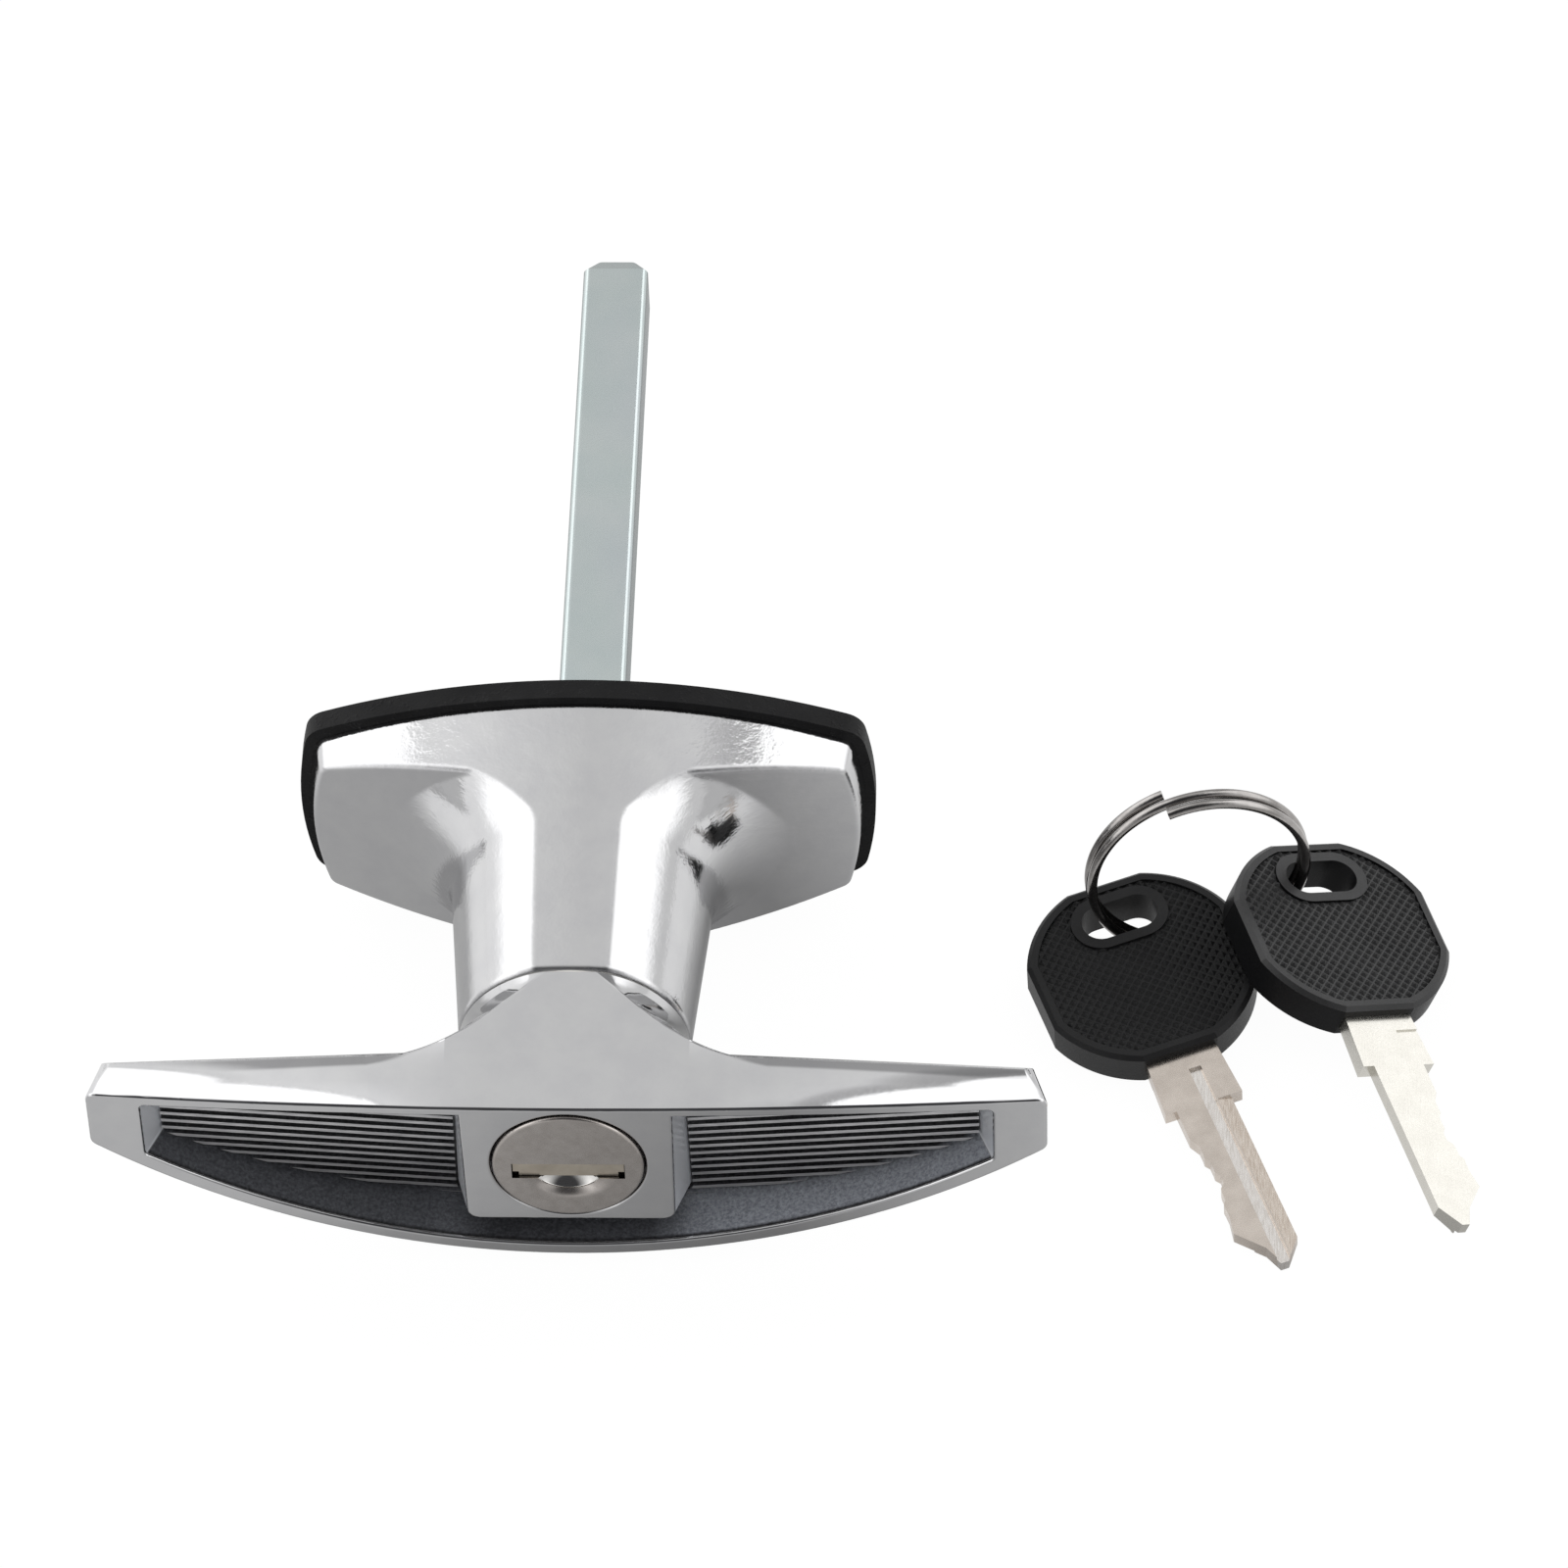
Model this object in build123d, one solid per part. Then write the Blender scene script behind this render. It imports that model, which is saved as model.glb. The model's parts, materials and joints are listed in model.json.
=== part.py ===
from build123d import *
import math
import os

# T-handle lock, lying as it does on a bench.
# +Y points into the door along the spindle, -Y is the front that a user sees, +Z is up.
# The origin is on the spindle axis, in the plane where the gasket meets the door.
# A depth is a distance in front of that plane.

# Clearances
RUN_GAP = 0.1
FIT_GAP = 0.05
TINY = 0.02

# How far a cutter or a hidden joint runs past a face
PAST = 1.0

# Gasket, and the escutcheon's outline at its back
GASKET_THICK = 2.8
GASKET_LIP = 1.1
GASKET_HOLE_R = 13.9
BASE_HALF_LONG = 33.0
BASE_CORNER_X = 31.5
BASE_CORNER_Z = 10.9
BASE_HALF_TALL = 17.3
BASE_CORNER_R = 2.2
BASE_SIDE_DRAFT = 10.8
BASE_RIDGE = 14.1
BASE_WING_SLOPE = 0.233
BASE_HOLLOW_DEEP = 2.4
BASE_HOLLOW_FROM = 15.5
BASE_HOLLOW_TO = 28.6
BASE_HOLLOW_HALF_TALL = 8.6

# Escutcheon neck
NECK_FRONT = 39.6
NECK_FRONT_R = 13.5
NECK_ROOT = 19.0
NECK_ROOT_R = 15.35
NECK_FLAT_DRAFT = 5.0
NECK_FLARE_R = 24.6
NECK_FLARE_FOOT = 8.4
NECK_FLARE_MID_R = 18.2
NECK_FLARE_MID = 12.15
NECK_MOUTH_EDGE = 0.5
BASE_RIDGE_EDGE = 0.5

# Tapped fixing holes in the back of the escutcheon
FIXING_PITCH = 43.0
FIXING_R = 2.1
FIXING_DEEP = 4.8
FIXING_BOSS_R = 4.4
FIXING_SCREW_GAP = 0.8

# Handle bar
FACE_FRONT = 58.1
CROWN_R = 890.0
BAR_HALF_LONG = 55.05
BAR_END_DEPTH = 56.4
BAR_END_SLOPE = 0.37
BAR_TOP = 9.9
BAR_TOP_SLOPE = 0.18
BAR_ARC_R = 92.85
BAR_BOTTOM = 16.5
BAR_REAR = 50.0
BAR_REAR_SLOPE = 0.0444
BAR_BEVEL_START = 51.0
BAR_BACK_BULGE = 2.2
BAR_BACK_INSET = 2.6
BAR_CORNER_R = 1.4
BAR_CORNER_SHRINK = 0.25
BAR_EDGE_R = 0.4
BAR_REAR_EDGE = 0.3
FACE_EDGE = 0.4

# Hub and its flare into the bar
HUB_R = 13.45
HUB_REAR = 40.2
HUB_FLARE_R = 12.0
HUB_FLARE_BACK = 1.0
HUB_OVERLAP = 2.0
HUB_CREASE_EDGE = 0.4

# Recess in the bar
RECESS_HALF_LONG = 48.9
RECESS_RIM = 57.0
RECESS_TOP = 8.7
RECESS_ARC_R = 90.0
RECESS_BOTTOM = 14.6
RECESS_FLOOR = 51.1
RECESS_FLOOR_SLOPE = 0.032
RECESS_END_SLOPE = 0.38
RECESS_LOW_SLOPE = 0.09
RECESS_CORNER_R = 0.8
RECESS_EDGE = 0.3

# Block in the recess that holds the cylinder lock
BLOCK_HALF_TOP = 12.15
BLOCK_HALF_LOW = 11.9
BLOCK_BOTTOM = 9.8
BLOCK_SIDE_SLOPE = 0.14
BLOCK_LOW_SPLAY = 0.10
BLOCK_LOW_SLOPE = 0.4
BLOCK_CORNER_R = 1.3

# Ribs on the floor of the recess
RIB_COUNT = 21
RIB_PITCH = 1.25
RIB_WIDE = 0.85
RIB_TOP_WIDE = 0.5
RIB_HIGH = 0.75
RIB_SINK = 0.2
RIB_SLOPE = 7.5
RIB_LOWEST = -15.6
RIB_MARGIN = 0.35

# Cylinder lock plug
PLUG_PROUD = 0.25
PLUG_HEAD_R = 8.72
PLUG_HEAD_GAP = 0.25
PLUG_HEAD_LONG = 5.0
PLUG_EDGE_R = 0.35
PLUG_BODY_R = 6.8
PLUG_END = 31.5
SLOT_HALF_LONG = 6.5
SLOT_TALL = 2.6
SLOT_CENTRE = -0.8
KEYWAY_WIDE = 7.2
KEYWAY_TALL = 2.3
KEYWAY_END = 34.2
SCOOP_HALF_LONG = 5.2
SCOOP_LOW = -5.2
SCOOP_R = 5.9
SCOOP_LIFT = 1.0

# Wafers in the plug
WAFER_COUNT = 5
WAFER_FIRST = 52.2
WAFER_PITCH = 2.3
WAFER_THICK = 1.0
WAFER_HALF_LONG = 5.75
WAFER_HALF_TALL = 3.3
WAFER_WINDOW_LONG = 6.9
WAFER_WINDOW_TALL = 2.6
WAFER_WINDOW_SHARE = 0.25
WAFER_EAR_LONG = 1.0
WAFER_EAR_TALL = 1.5
WAFER_EAR_X = 1.9
WAFER_GROOVE_R = 8.3
WAFER_SPRING_R = 0.55
WAFER_SPRING_BORE_R = 0.28
WAFER_SPRING_LONG = 3.0
BITTING = (0.7, 1.1, 1.5, 0.8, 0.4)
BITTING_MIDDLE = 0.95

# Wafer that keeps the plug in the handle
KEEPER_DEPTH = 32.8
KEEPER_THICK = 1.0
KEEPER_TALL = 3.0
KEEPER_INNER = 3.4
KEEPER_OUTER = 7.9
KEEPER_GROOVE_R = 8.1
KEEPER_SPRING_LONG = 1.6

# Pin on the plug's tail, and the locking bolt that it drives
THROW_R = 2.2
THROW_START = 135.0
THROW_PIN_R = 1.2
THROW_PIN_LONG = 6.4
THROW_SLACK = 0.15
THROW_ROOM_GAP = 0.3
BOLT_DEPTH = 26.2
BOLT_R = 3.0
BOLT_OUTER = 9.1
BOLT_INNER = 7.6
BOLT_NOSE = 0.6
BOLT_END_GAP = 0.4
BOLT_NOTCH_R = 12.9
BOLT_NOTCH_GAP = 0.25

# Dust shutter behind the key slot
SHUTTER_LIP = 0.35
SHUTTER_THICK = 0.35
SHUTTER_HALF_LONG = 6.4
SHUTTER_LOW = -2.0
SHUTTER_NOTCH = 0.7
SHUTTER_PIN_R = 0.3
SHUTTER_BARREL_R = 0.55
SHUTTER_PIN_Z = 1.1
SHUTTER_PIN_LONG = 14.4
SHUTTER_ROOM_HALF = 6.7
SHUTTER_ROOM_DEEP = 4.0
SHUTTER_SPRING_LONG = 2.4

# Stem of the handle
STEM_R = 9.5
STEM_END = 0.5
STEM_FLAT = 7.6

# Washers and ring that hold the stem in the escutcheon
THRUST_THICK = 0.5
THRUST_R = 12.7
SEAT_DEPTH = 5.6
SEAT_R = 12.0
STOP_THICK = 1.2
STOP_R = 11.6
STOP_TAB_R = 13.0
STOP_TAB_HALF = 9.0
STOP_TAB_AT = 225.0
STOP_SLOT_R = 13.3
STOP_SLACK = 1.0
TURN_RANGE = 90.0
SPRING_THICK = 0.35
SPRING_RISE = 0.6
SPRING_WIDE = 1.2
CIRCLIP_THICK = 1.0
CIRCLIP_R = 10.9
CIRCLIP_GROOVE_R = 8.8
CIRCLIP_OPEN = 60.0
CIRCLIP_OPEN_AT = 90.0
CIRCLIP_EAR_BACK = 4.0
CIRCLIP_EAR_R = 1.3
CIRCLIP_EAR_AT = 10.2
CIRCLIP_EYE_R = 0.6

# Spindle and the pin that holds it
SPINDLE_SQUARE = 8.0
SPINDLE_CORNER_R = 0.9
SPINDLE_REACH = 84.0
SPINDLE_SEAT = 17.0
SPINDLE_TIP_LONG = 2.4
SPINDLE_TIP_INSET = 1.3
CROSS_PIN_R = 1.5
CROSS_PIN_BORE_R = 0.8
CROSS_PIN_DEPTH = 11.0
CROSS_PIN_SUNK = 0.4

# Keys
BOW_R = 13.6
BOW_FLAT = 12.8
BOW_THICK = 4.9
BOW_RIM = 1.3
BOW_SINK = 0.4
BOW_EDGE = 0.5
BOW_HOLE_HALF_LONG = 4.65
BOW_HOLE_TALL = 4.8
BOW_HOLE_AT = 7.4
BLADE_THICK = 2.0
BLADE_TIP = 44.0
BLADE_SHOULDER = 20.2
BLADE_COLLAR = 4.8
BLADE_HALF_WIDE = 3.4
BLADE_COLLAR_NECK = 4.35
BLADE_POINT = 2.7
BLADE_LONG_POINT = 5.5
BLADE_TIP_STEP = 2.3
BLADE_TIP_LOW = -0.3
BLADE_TIP_HIGH = -1.3
BLADE_TIP_KNEE = 0.6
BLADE_TANG_HALF = 3.6
BLADE_TANG_START = 1.5
BLADE_GROOVE_WIDE = 1.5
BLADE_GROOVE_DEEP = 0.5
BLADE_GROOVE_OFF = 0.8
BLADE_GROOVE_LEAD = 5.1
BLADE_SHELF_FROM = 1.75
BLADE_SHELF_DROP = 0.12
BLADE_SHELF_FALL = 0.35
BLADE_STEP_FROM = 1.6
BLADE_STEP_DEEP = 0.25
BITE_WIDE = 1.1
BITE_BUMP = 0.25
BITE_ROUND = 0.3
BITE_LEAD_IN = 1.4
BITE_RUN_OUT = 2.4

# How the two keys and their ring lie on the bench
KEY_A_TURN = 21.1
KEY_A_X = 65.73
KEY_A_Y = -17.78
KEY_A_LIFT = 2.05
KEY_A_SIDE_TILT = 0.057
KEY_A_TIP_TILT = -0.074
KEY_B_TURN = 19.8
KEY_B_X = 88.64
KEY_B_Y = -13.53
KEY_B_LIFT = 4.23
KEY_B_SIDE_TILT = -0.355
KEY_B_TIP_TILT = -0.074
RING_R = 12.8
RING_WIRE_R = 0.6
RING_TURNS = 2.0
RING_TURN_PITCH = 1.62
RING_X = 72.23
RING_Y = -8.89
RING_FACING = 11.94
RING_LEAN = 1.7
RING_START = 107.8

# Working values
BENCH = -(BASE_HALF_TALL + GASKET_LIP)
PLUG_FACE = FACE_FRONT + PLUG_PROUD
HEAD_BACK = PLUG_FACE - PLUG_HEAD_LONG
FRONT_CLEAR = 3.0
STOP_FRONT = SEAT_DEPTH - RUN_GAP
SPRING_FRONT = STOP_FRONT - STOP_THICK - TINY
CIRCLIP_FRONT = SPRING_FRONT - SPRING_THICK - SPRING_RISE - TINY
BITTING_START = PLUG_FACE - WAFER_FIRST
SHUTTER_FRONT = PLUG_FACE - SHUTTER_LIP
SHUTTER_PIN_DEPTH = SHUTTER_FRONT - SHUTTER_BARREL_R
BOLT_SHIFT = THROW_R * math.cos(math.radians(THROW_START))
BOLT_TRAVEL = 2 * abs(BOLT_SHIFT)
CROSS_PIN_LONG = 2 * (STEM_R - CROSS_PIN_SUNK)
PARTS = "parts"


def save(shape, name):
    """Write one named piece."""
    export_step(shape, os.path.join(PARTS, name + ".step"))


def facing(depth):
    """Plane at a depth in front of the door, seen from the front: x right, y up."""
    return Plane(origin=(0, -depth, 0), x_dir=(1, 0, 0), z_dir=(0, -1, 0))


def rod(radius, back, front, x=0.0, z=0.0):
    """Round bar along the spindle axis between two depths."""
    place = Pos(x, -(front + back) / 2, z) * Rot(90, 0, 0)
    return place * Cylinder(radius, front - back)


def cross_rod(radius, start, end, depth, z=0.0):
    """Round bar across the axis, from one x to another."""
    place = Pos((start + end) / 2, -depth, z) * Rot(0, 90, 0)
    return place * Cylinder(radius, end - start)


def block(x_range, depth_range, z_range):
    """Box given by its ranges of x, depth and z."""
    size = [max(r) - min(r) for r in (x_range, depth_range, z_range)]
    place = Pos(sum(x_range) / 2, -sum(depth_range) / 2, sum(z_range) / 2)
    return place * Box(*size)


def both(half):
    """Range from minus a half size to plus it."""
    return (-half, half)


def around(middle, width):
    """Range of a width about a middle."""
    return (middle - width / 2, middle + width / 2)


def ring_disc(inner, outer, back, front):
    """Flat ring about the spindle axis."""
    return rod(outer, back, front) - rod(inner, back - PAST, front + PAST)


def arc_sector(outer, inner, middle, half, back, front):
    """Part of a flat ring, given by angles counted from +X towards +Z."""
    reach = 2 * outer
    low = math.radians(middle - half)
    high = math.radians(middle + half)
    mid = math.radians(middle)
    corners = [
        (0, 0),
        (reach * math.cos(low), reach * math.sin(low)),
        (reach * math.cos(mid), reach * math.sin(mid)),
        (reach * math.cos(high), reach * math.sin(high)),
    ]
    wedge = facing(back - PAST) * make_face(Polyline(*corners, close=True))
    wedge = extrude(wedge, front - back + 2 * PAST, dir=(0, -1, 0))
    return ring_disc(inner, outer, back, front) & wedge


def arched_face(half, top, arc_r, bottom, corner_r):
    """Flat top, straight ends and a long arc below, with rounded corners."""
    centre = arc_r - bottom
    low = centre - math.sqrt(arc_r ** 2 - half ** 2)
    outline = Curve() + [
        Line((-half, top), (half, top)),
        Line((half, top), (half, low)),
        ThreePointArc((half, low), (0, -bottom), (-half, low)),
        Line((-half, low), (-half, top)),
    ]
    face = Sketch() + make_face(outline)
    return fillet(face.vertices(), corner_r)


# Escutcheon

def base_outline(grow=0.0):
    """Outline of the escutcheon where it meets the gasket, or a lip round it."""
    x = BASE_CORNER_X + grow
    z = BASE_CORNER_Z + grow
    tall = BASE_HALF_TALL + grow
    long = BASE_HALF_LONG + grow
    outline = Curve() + [
        ThreePointArc((-x, z), (0, tall), (x, z)),
        ThreePointArc((x, z), (long, 0), (x, -z)),
        ThreePointArc((x, -z), (0, -tall), (-x, -z)),
        ThreePointArc((-x, -z), (-long, 0), (-x, z)),
    ]
    face = Sketch() + make_face(outline)
    return fillet(face.vertices(), BASE_CORNER_R + grow)


def neck_body():
    """Round neck that flares into the base, before its flats are cut."""
    profile = Curve() + [
        Line((0, -GASKET_THICK), (NECK_FLARE_R, -GASKET_THICK)),
        Line((NECK_FLARE_R, -GASKET_THICK), (NECK_FLARE_R, -NECK_FLARE_FOOT)),
        ThreePointArc(
            (NECK_FLARE_R, -NECK_FLARE_FOOT),
            (NECK_FLARE_MID_R, -NECK_FLARE_MID),
            (NECK_ROOT_R, -NECK_ROOT),
        ),
        Line((NECK_ROOT_R, -NECK_ROOT), (NECK_FRONT_R, -NECK_FRONT)),
        Line((NECK_FRONT_R, -NECK_FRONT), (0, -NECK_FRONT)),
        Line((0, -NECK_FRONT), (0, -GASKET_THICK)),
    ]
    return revolve(make_face(profile), Axis.Y, 360)


def neck_face(depth):
    """Band between the long curved sides, which the neck's flats follow."""
    bulge = BASE_HALF_TALL - BASE_CORNER_Z
    side_r = (BASE_CORNER_X ** 2 + bulge ** 2) / (2 * bulge)
    inset = math.tan(math.radians(BASE_SIDE_DRAFT)) * (BASE_RIDGE - GASKET_THICK)
    inset += math.tan(math.radians(NECK_FLAT_DRAFT)) * (depth - BASE_RIDGE)
    arc_r = side_r - inset
    tall = BASE_HALF_TALL - inset
    half = NECK_FLARE_R
    edge = tall - arc_r + math.sqrt(arc_r ** 2 - half ** 2)
    outline = Curve() + [
        ThreePointArc((-half, edge), (0, tall), (half, edge)),
        Line((half, edge), (half, -edge)),
        ThreePointArc((half, -edge), (0, -tall), (-half, -edge)),
        Line((-half, -edge), (-half, edge)),
    ]
    return facing(depth) * make_face(outline)


def fixing_places():
    """The two x positions of the tapped holes."""
    return (-FIXING_PITCH / 2, FIXING_PITCH / 2)


def soften(body, edges, radius):
    """Round a casting's edges, or leave them sharp where the shape is too tight."""
    try:
        return fillet(edges, radius)
    except (ValueError, IndexError):
        print("left sharp at radius", radius)
        return body


def ridge_edges(body):
    """Edges between the escutcheon's sides and its wings, clear of the neck."""
    least_depth = BASE_RIDGE - BASE_WING_SLOPE * (BASE_HALF_LONG + PAST)
    edges = []
    for edge in body.edges():
        box = edge.bounding_box()
        middle = edge.center()
        on_wing = -box.max.Y > least_depth - TINY and -box.min.Y < NECK_FLARE_MID
        rim = abs(middle.Z) > BASE_CORNER_Z or abs(middle.X) > BASE_CORNER_X - BASE_CORNER_R
        if on_wing and rim and abs(middle.X) > NECK_ROOT_R:
            edges.append(edge)
    return edges


def make_escutcheon():
    """Base, neck, bore, seat, stop slot, bolt notches and tapped bosses."""
    back_face = facing(GASKET_THICK) * base_outline()
    ridge_rise = BASE_RIDGE - GASKET_THICK
    lower = extrude(back_face, ridge_rise, taper=BASE_SIDE_DRAFT)
    upper = loft([neck_face(BASE_RIDGE), neck_face(NECK_FRONT + PAST)], ruled=True)
    wing_end = BASE_HALF_LONG + PAST
    wing_depth = BASE_RIDGE - BASE_WING_SLOPE * wing_end
    roof_line = Polyline(
        (-wing_end, 0), (wing_end, 0), (wing_end, -wing_depth),
        (0, -BASE_RIDGE), (-wing_end, -wing_depth), close=True,
    )
    tall = BASE_HALF_TALL + PAST
    roof = extrude(Plane.XY.offset(-tall) * make_face(roof_line), 2 * tall, dir=(0, 0, 1))
    base = lower & roof
    neck = neck_body() & (lower + upper)
    body = base + neck
    mouth = [
        edge for edge in body.edges()
        if abs(edge.center().Y + NECK_FRONT) < TINY
    ]
    body = fillet(mouth, NECK_MOUTH_EDGE)
    body = soften(body, ridge_edges(body), BASE_RIDGE_EDGE)
    body -= rod(STEM_R + RUN_GAP, 0, NECK_FRONT + PAST)
    body -= rod(SEAT_R, 0, SEAT_DEPTH)
    slot_half = STOP_TAB_HALF + TURN_RANGE / 2 + STOP_SLACK
    slot_middle = STOP_TAB_AT - TURN_RANGE / 2
    body -= arc_sector(STOP_SLOT_R, STEM_R, slot_middle, slot_half, 0, SEAT_DEPTH)
    hollow_end = GASKET_THICK + BASE_HOLLOW_DEEP
    for side in (-1, 1):
        x_range = (side * BASE_HOLLOW_FROM, side * BASE_HOLLOW_TO)
        hollow = block(x_range, (0, hollow_end), both(BASE_HOLLOW_HALF_TALL))
        x = side * FIXING_PITCH / 2
        hollow -= rod(FIXING_BOSS_R, -PAST, hollow_end + PAST, x)
        body -= hollow
        body -= rod(FIXING_R, 0, GASKET_THICK + FIXING_DEEP, x)
    notch_r = BOLT_R + BOLT_NOTCH_GAP
    notch = cross_rod(notch_r, 0, BOLT_NOTCH_R, BOLT_DEPTH)
    body -= notch
    body -= Rot(0, TURN_RANGE, 0) * notch
    return body


def make_gasket():
    """Flat rubber sheet between escutcheon and door."""
    sheet = extrude(facing(0) * base_outline(GASKET_LIP), GASKET_THICK, dir=(0, -1, 0))
    sheet -= rod(GASKET_HOLE_R, -PAST, GASKET_THICK + PAST)
    for x in fixing_places():
        sheet -= rod(FIXING_R + FIXING_SCREW_GAP, -PAST, GASKET_THICK + PAST, x)
    return sheet


# Handle

def bar_face(depth, inset=0.0):
    """Cross outline of the bar at a depth."""
    half = BAR_HALF_LONG - BAR_END_SLOPE * (BAR_END_DEPTH - depth) - inset
    top = BAR_TOP + BAR_TOP_SLOPE * (FACE_FRONT - depth) - inset
    corner = max(BAR_CORNER_R - BAR_CORNER_SHRINK * inset, BAR_EDGE_R)
    face = arched_face(half, top, BAR_ARC_R - inset, BAR_BOTTOM - inset, corner)
    return facing(depth) * face


def bar_rear(x, behind=0.0):
    """Depth of the bar's rear edge at a distance from the middle."""
    return BAR_REAR + BAR_REAR_SLOPE * x - behind


def bar_body():
    """Bar with a crowned face and a bevelled back that comes forward to the ends."""
    start = BAR_BEVEL_START
    main = loft([bar_face(FACE_FRONT + PAST), bar_face(start)], ruled=True)
    bevel_end = start - 2 * BAR_BACK_BULGE
    bevel = loft([bar_face(start), bar_face(bevel_end, 2 * BAR_BACK_INSET)], ruled=True)
    reach = BAR_HALF_LONG + FRONT_CLEAR
    front = -FACE_FRONT + reach ** 2 / (2 * CROWN_R)
    rear = -bar_rear(reach, BAR_BACK_BULGE)
    plan = Curve() + [
        ThreePointArc((-reach, front), (0, -FACE_FRONT), (reach, front)),
        Line((reach, front), (reach, rear)),
        Line((reach, rear), (0, -bar_rear(0, BAR_BACK_BULGE))),
        Line((0, -bar_rear(0, BAR_BACK_BULGE)), (-reach, rear)),
        Line((-reach, rear), (-reach, front)),
    ]
    tall = 2 * BAR_BOTTOM
    limit = extrude(Plane.XY.offset(-tall) * make_face(plan), 2 * tall, dir=(0, 0, 1))
    body = (main + bevel) & limit
    middle = Vector(0, -bar_rear(0), BAR_TOP + BAR_TOP_SLOPE * (FACE_FRONT - bar_rear(0)))
    end_depth = bar_rear(reach)
    end = Vector(reach, -end_depth, BAR_TOP + BAR_TOP_SLOPE * (FACE_FRONT - end_depth))
    inward = Vector(0, BAR_BACK_BULGE, -BAR_BACK_INSET)
    for side in (-1, 1):
        along = Vector(side * (end.X - middle.X), end.Y - middle.Y, end.Z - middle.Z)
        normal = along.cross(inward) * side
        over = Plane(origin=middle, x_dir=along, z_dir=normal)
        slab = Box(4 * reach, 4 * reach, tall, align=(Align.CENTER, Align.CENTER, Align.MIN))
        body -= over.location * slab
    return body


def hub_body():
    """Round hub with its flare, cut flush with the bar's top and bottom."""
    flare_r = HUB_R + HUB_FLARE_R
    flare_end = HUB_REAR + HUB_FLARE_R - HUB_FLARE_BACK
    mid = HUB_FLARE_R * (1 - math.sqrt(0.5))
    middle = (HUB_R + mid, mid - flare_end)
    profile = Curve() + [
        Line((0, -HUB_REAR), (HUB_R, -HUB_REAR)),
        ThreePointArc((HUB_R, -HUB_REAR), middle, (flare_r, -flare_end)),
        Line((flare_r, -flare_end), (flare_r, -flare_end - HUB_OVERLAP)),
        Line((flare_r, -flare_end - HUB_OVERLAP), (0, -flare_end - HUB_OVERLAP)),
        Line((0, -flare_end - HUB_OVERLAP), (0, -HUB_REAR)),
    ]
    trumpet = revolve(make_face(profile), Axis.Y, 360)
    limit = loft([bar_face(FACE_FRONT + PAST), bar_face(HUB_REAR - PAST)], ruled=True)
    return trumpet & limit


def top_edges(body, from_x, to_x):
    """Edges along the back of the top flat, between two distances from the middle."""
    flats = [face for face in body.faces() if face.normal_at().Z > math.sqrt(0.5)]
    top = max(flats, key=lambda face: face.area)
    deepest = -(FACE_FRONT + BAR_BEVEL_START) / 2
    return [
        edge for edge in top.edges()
        if from_x < abs(edge.center().X) < to_x and edge.center().Y > deepest
    ]


def recess_face(depth, inset=0.0):
    """Outline of the recess at a depth."""
    half = RECESS_HALF_LONG - RECESS_END_SLOPE * (RECESS_RIM - depth) - inset
    lift = RECESS_LOW_SLOPE * (RECESS_RIM - depth) + inset
    bottom = RECESS_BOTTOM - lift
    face = arched_face(half, RECESS_TOP - inset, RECESS_ARC_R - lift, bottom, RECESS_CORNER_R)
    return facing(depth) * face


def recess_body(inset=0.0):
    """Hollow of the recess down to its floor, which comes forward towards the ends."""
    deep = RECESS_FLOOR - PAST
    hollow = loft([recess_face(FACE_FRONT + PAST, inset), recess_face(deep, inset)], ruled=True)
    reach = RECESS_HALF_LONG + FRONT_CLEAR
    end_floor = RECESS_FLOOR + RECESS_FLOOR_SLOPE * (reach - BLOCK_HALF_TOP)
    ahead = FACE_FRONT + FRONT_CLEAR
    plan = Polyline(
        (-reach, -ahead), (reach, -ahead), (reach, -end_floor), (BLOCK_HALF_TOP, -RECESS_FLOOR),
        (-BLOCK_HALF_TOP, -RECESS_FLOOR), (-reach, -end_floor), close=True,
    )
    tall = 2 * BAR_BOTTOM
    limit = extrude(Plane.XY.offset(-tall) * make_face(plan), 2 * tall, dir=(0, 0, 1))
    return hollow & limit


def lock_block_face(depth, grow=0.0):
    """Outline of the lock block at a depth."""
    deep = FACE_FRONT - depth
    top = RECESS_TOP + PAST
    half_top = BLOCK_HALF_TOP + BLOCK_SIDE_SLOPE * deep + grow
    half_low = BLOCK_HALF_LOW + (BLOCK_SIDE_SLOPE + BLOCK_LOW_SPLAY) * deep + grow
    bottom = -(BLOCK_BOTTOM + BLOCK_LOW_SLOPE * deep) - grow
    corners = [(-half_top, top), (half_top, top), (half_low, bottom), (-half_low, bottom)]
    face = Sketch() + make_face(Polyline(*corners, close=True))
    low = face.vertices().sort_by(Axis.Y)[0:2]
    return facing(depth) * fillet(low, BLOCK_CORNER_R)


def lock_block(grow=0.0):
    """Block between the two halves of the recess."""
    front = lock_block_face(FACE_FRONT + PAST, grow)
    return loft([front, lock_block_face(RECESS_FLOOR - PAST, grow)])


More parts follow.
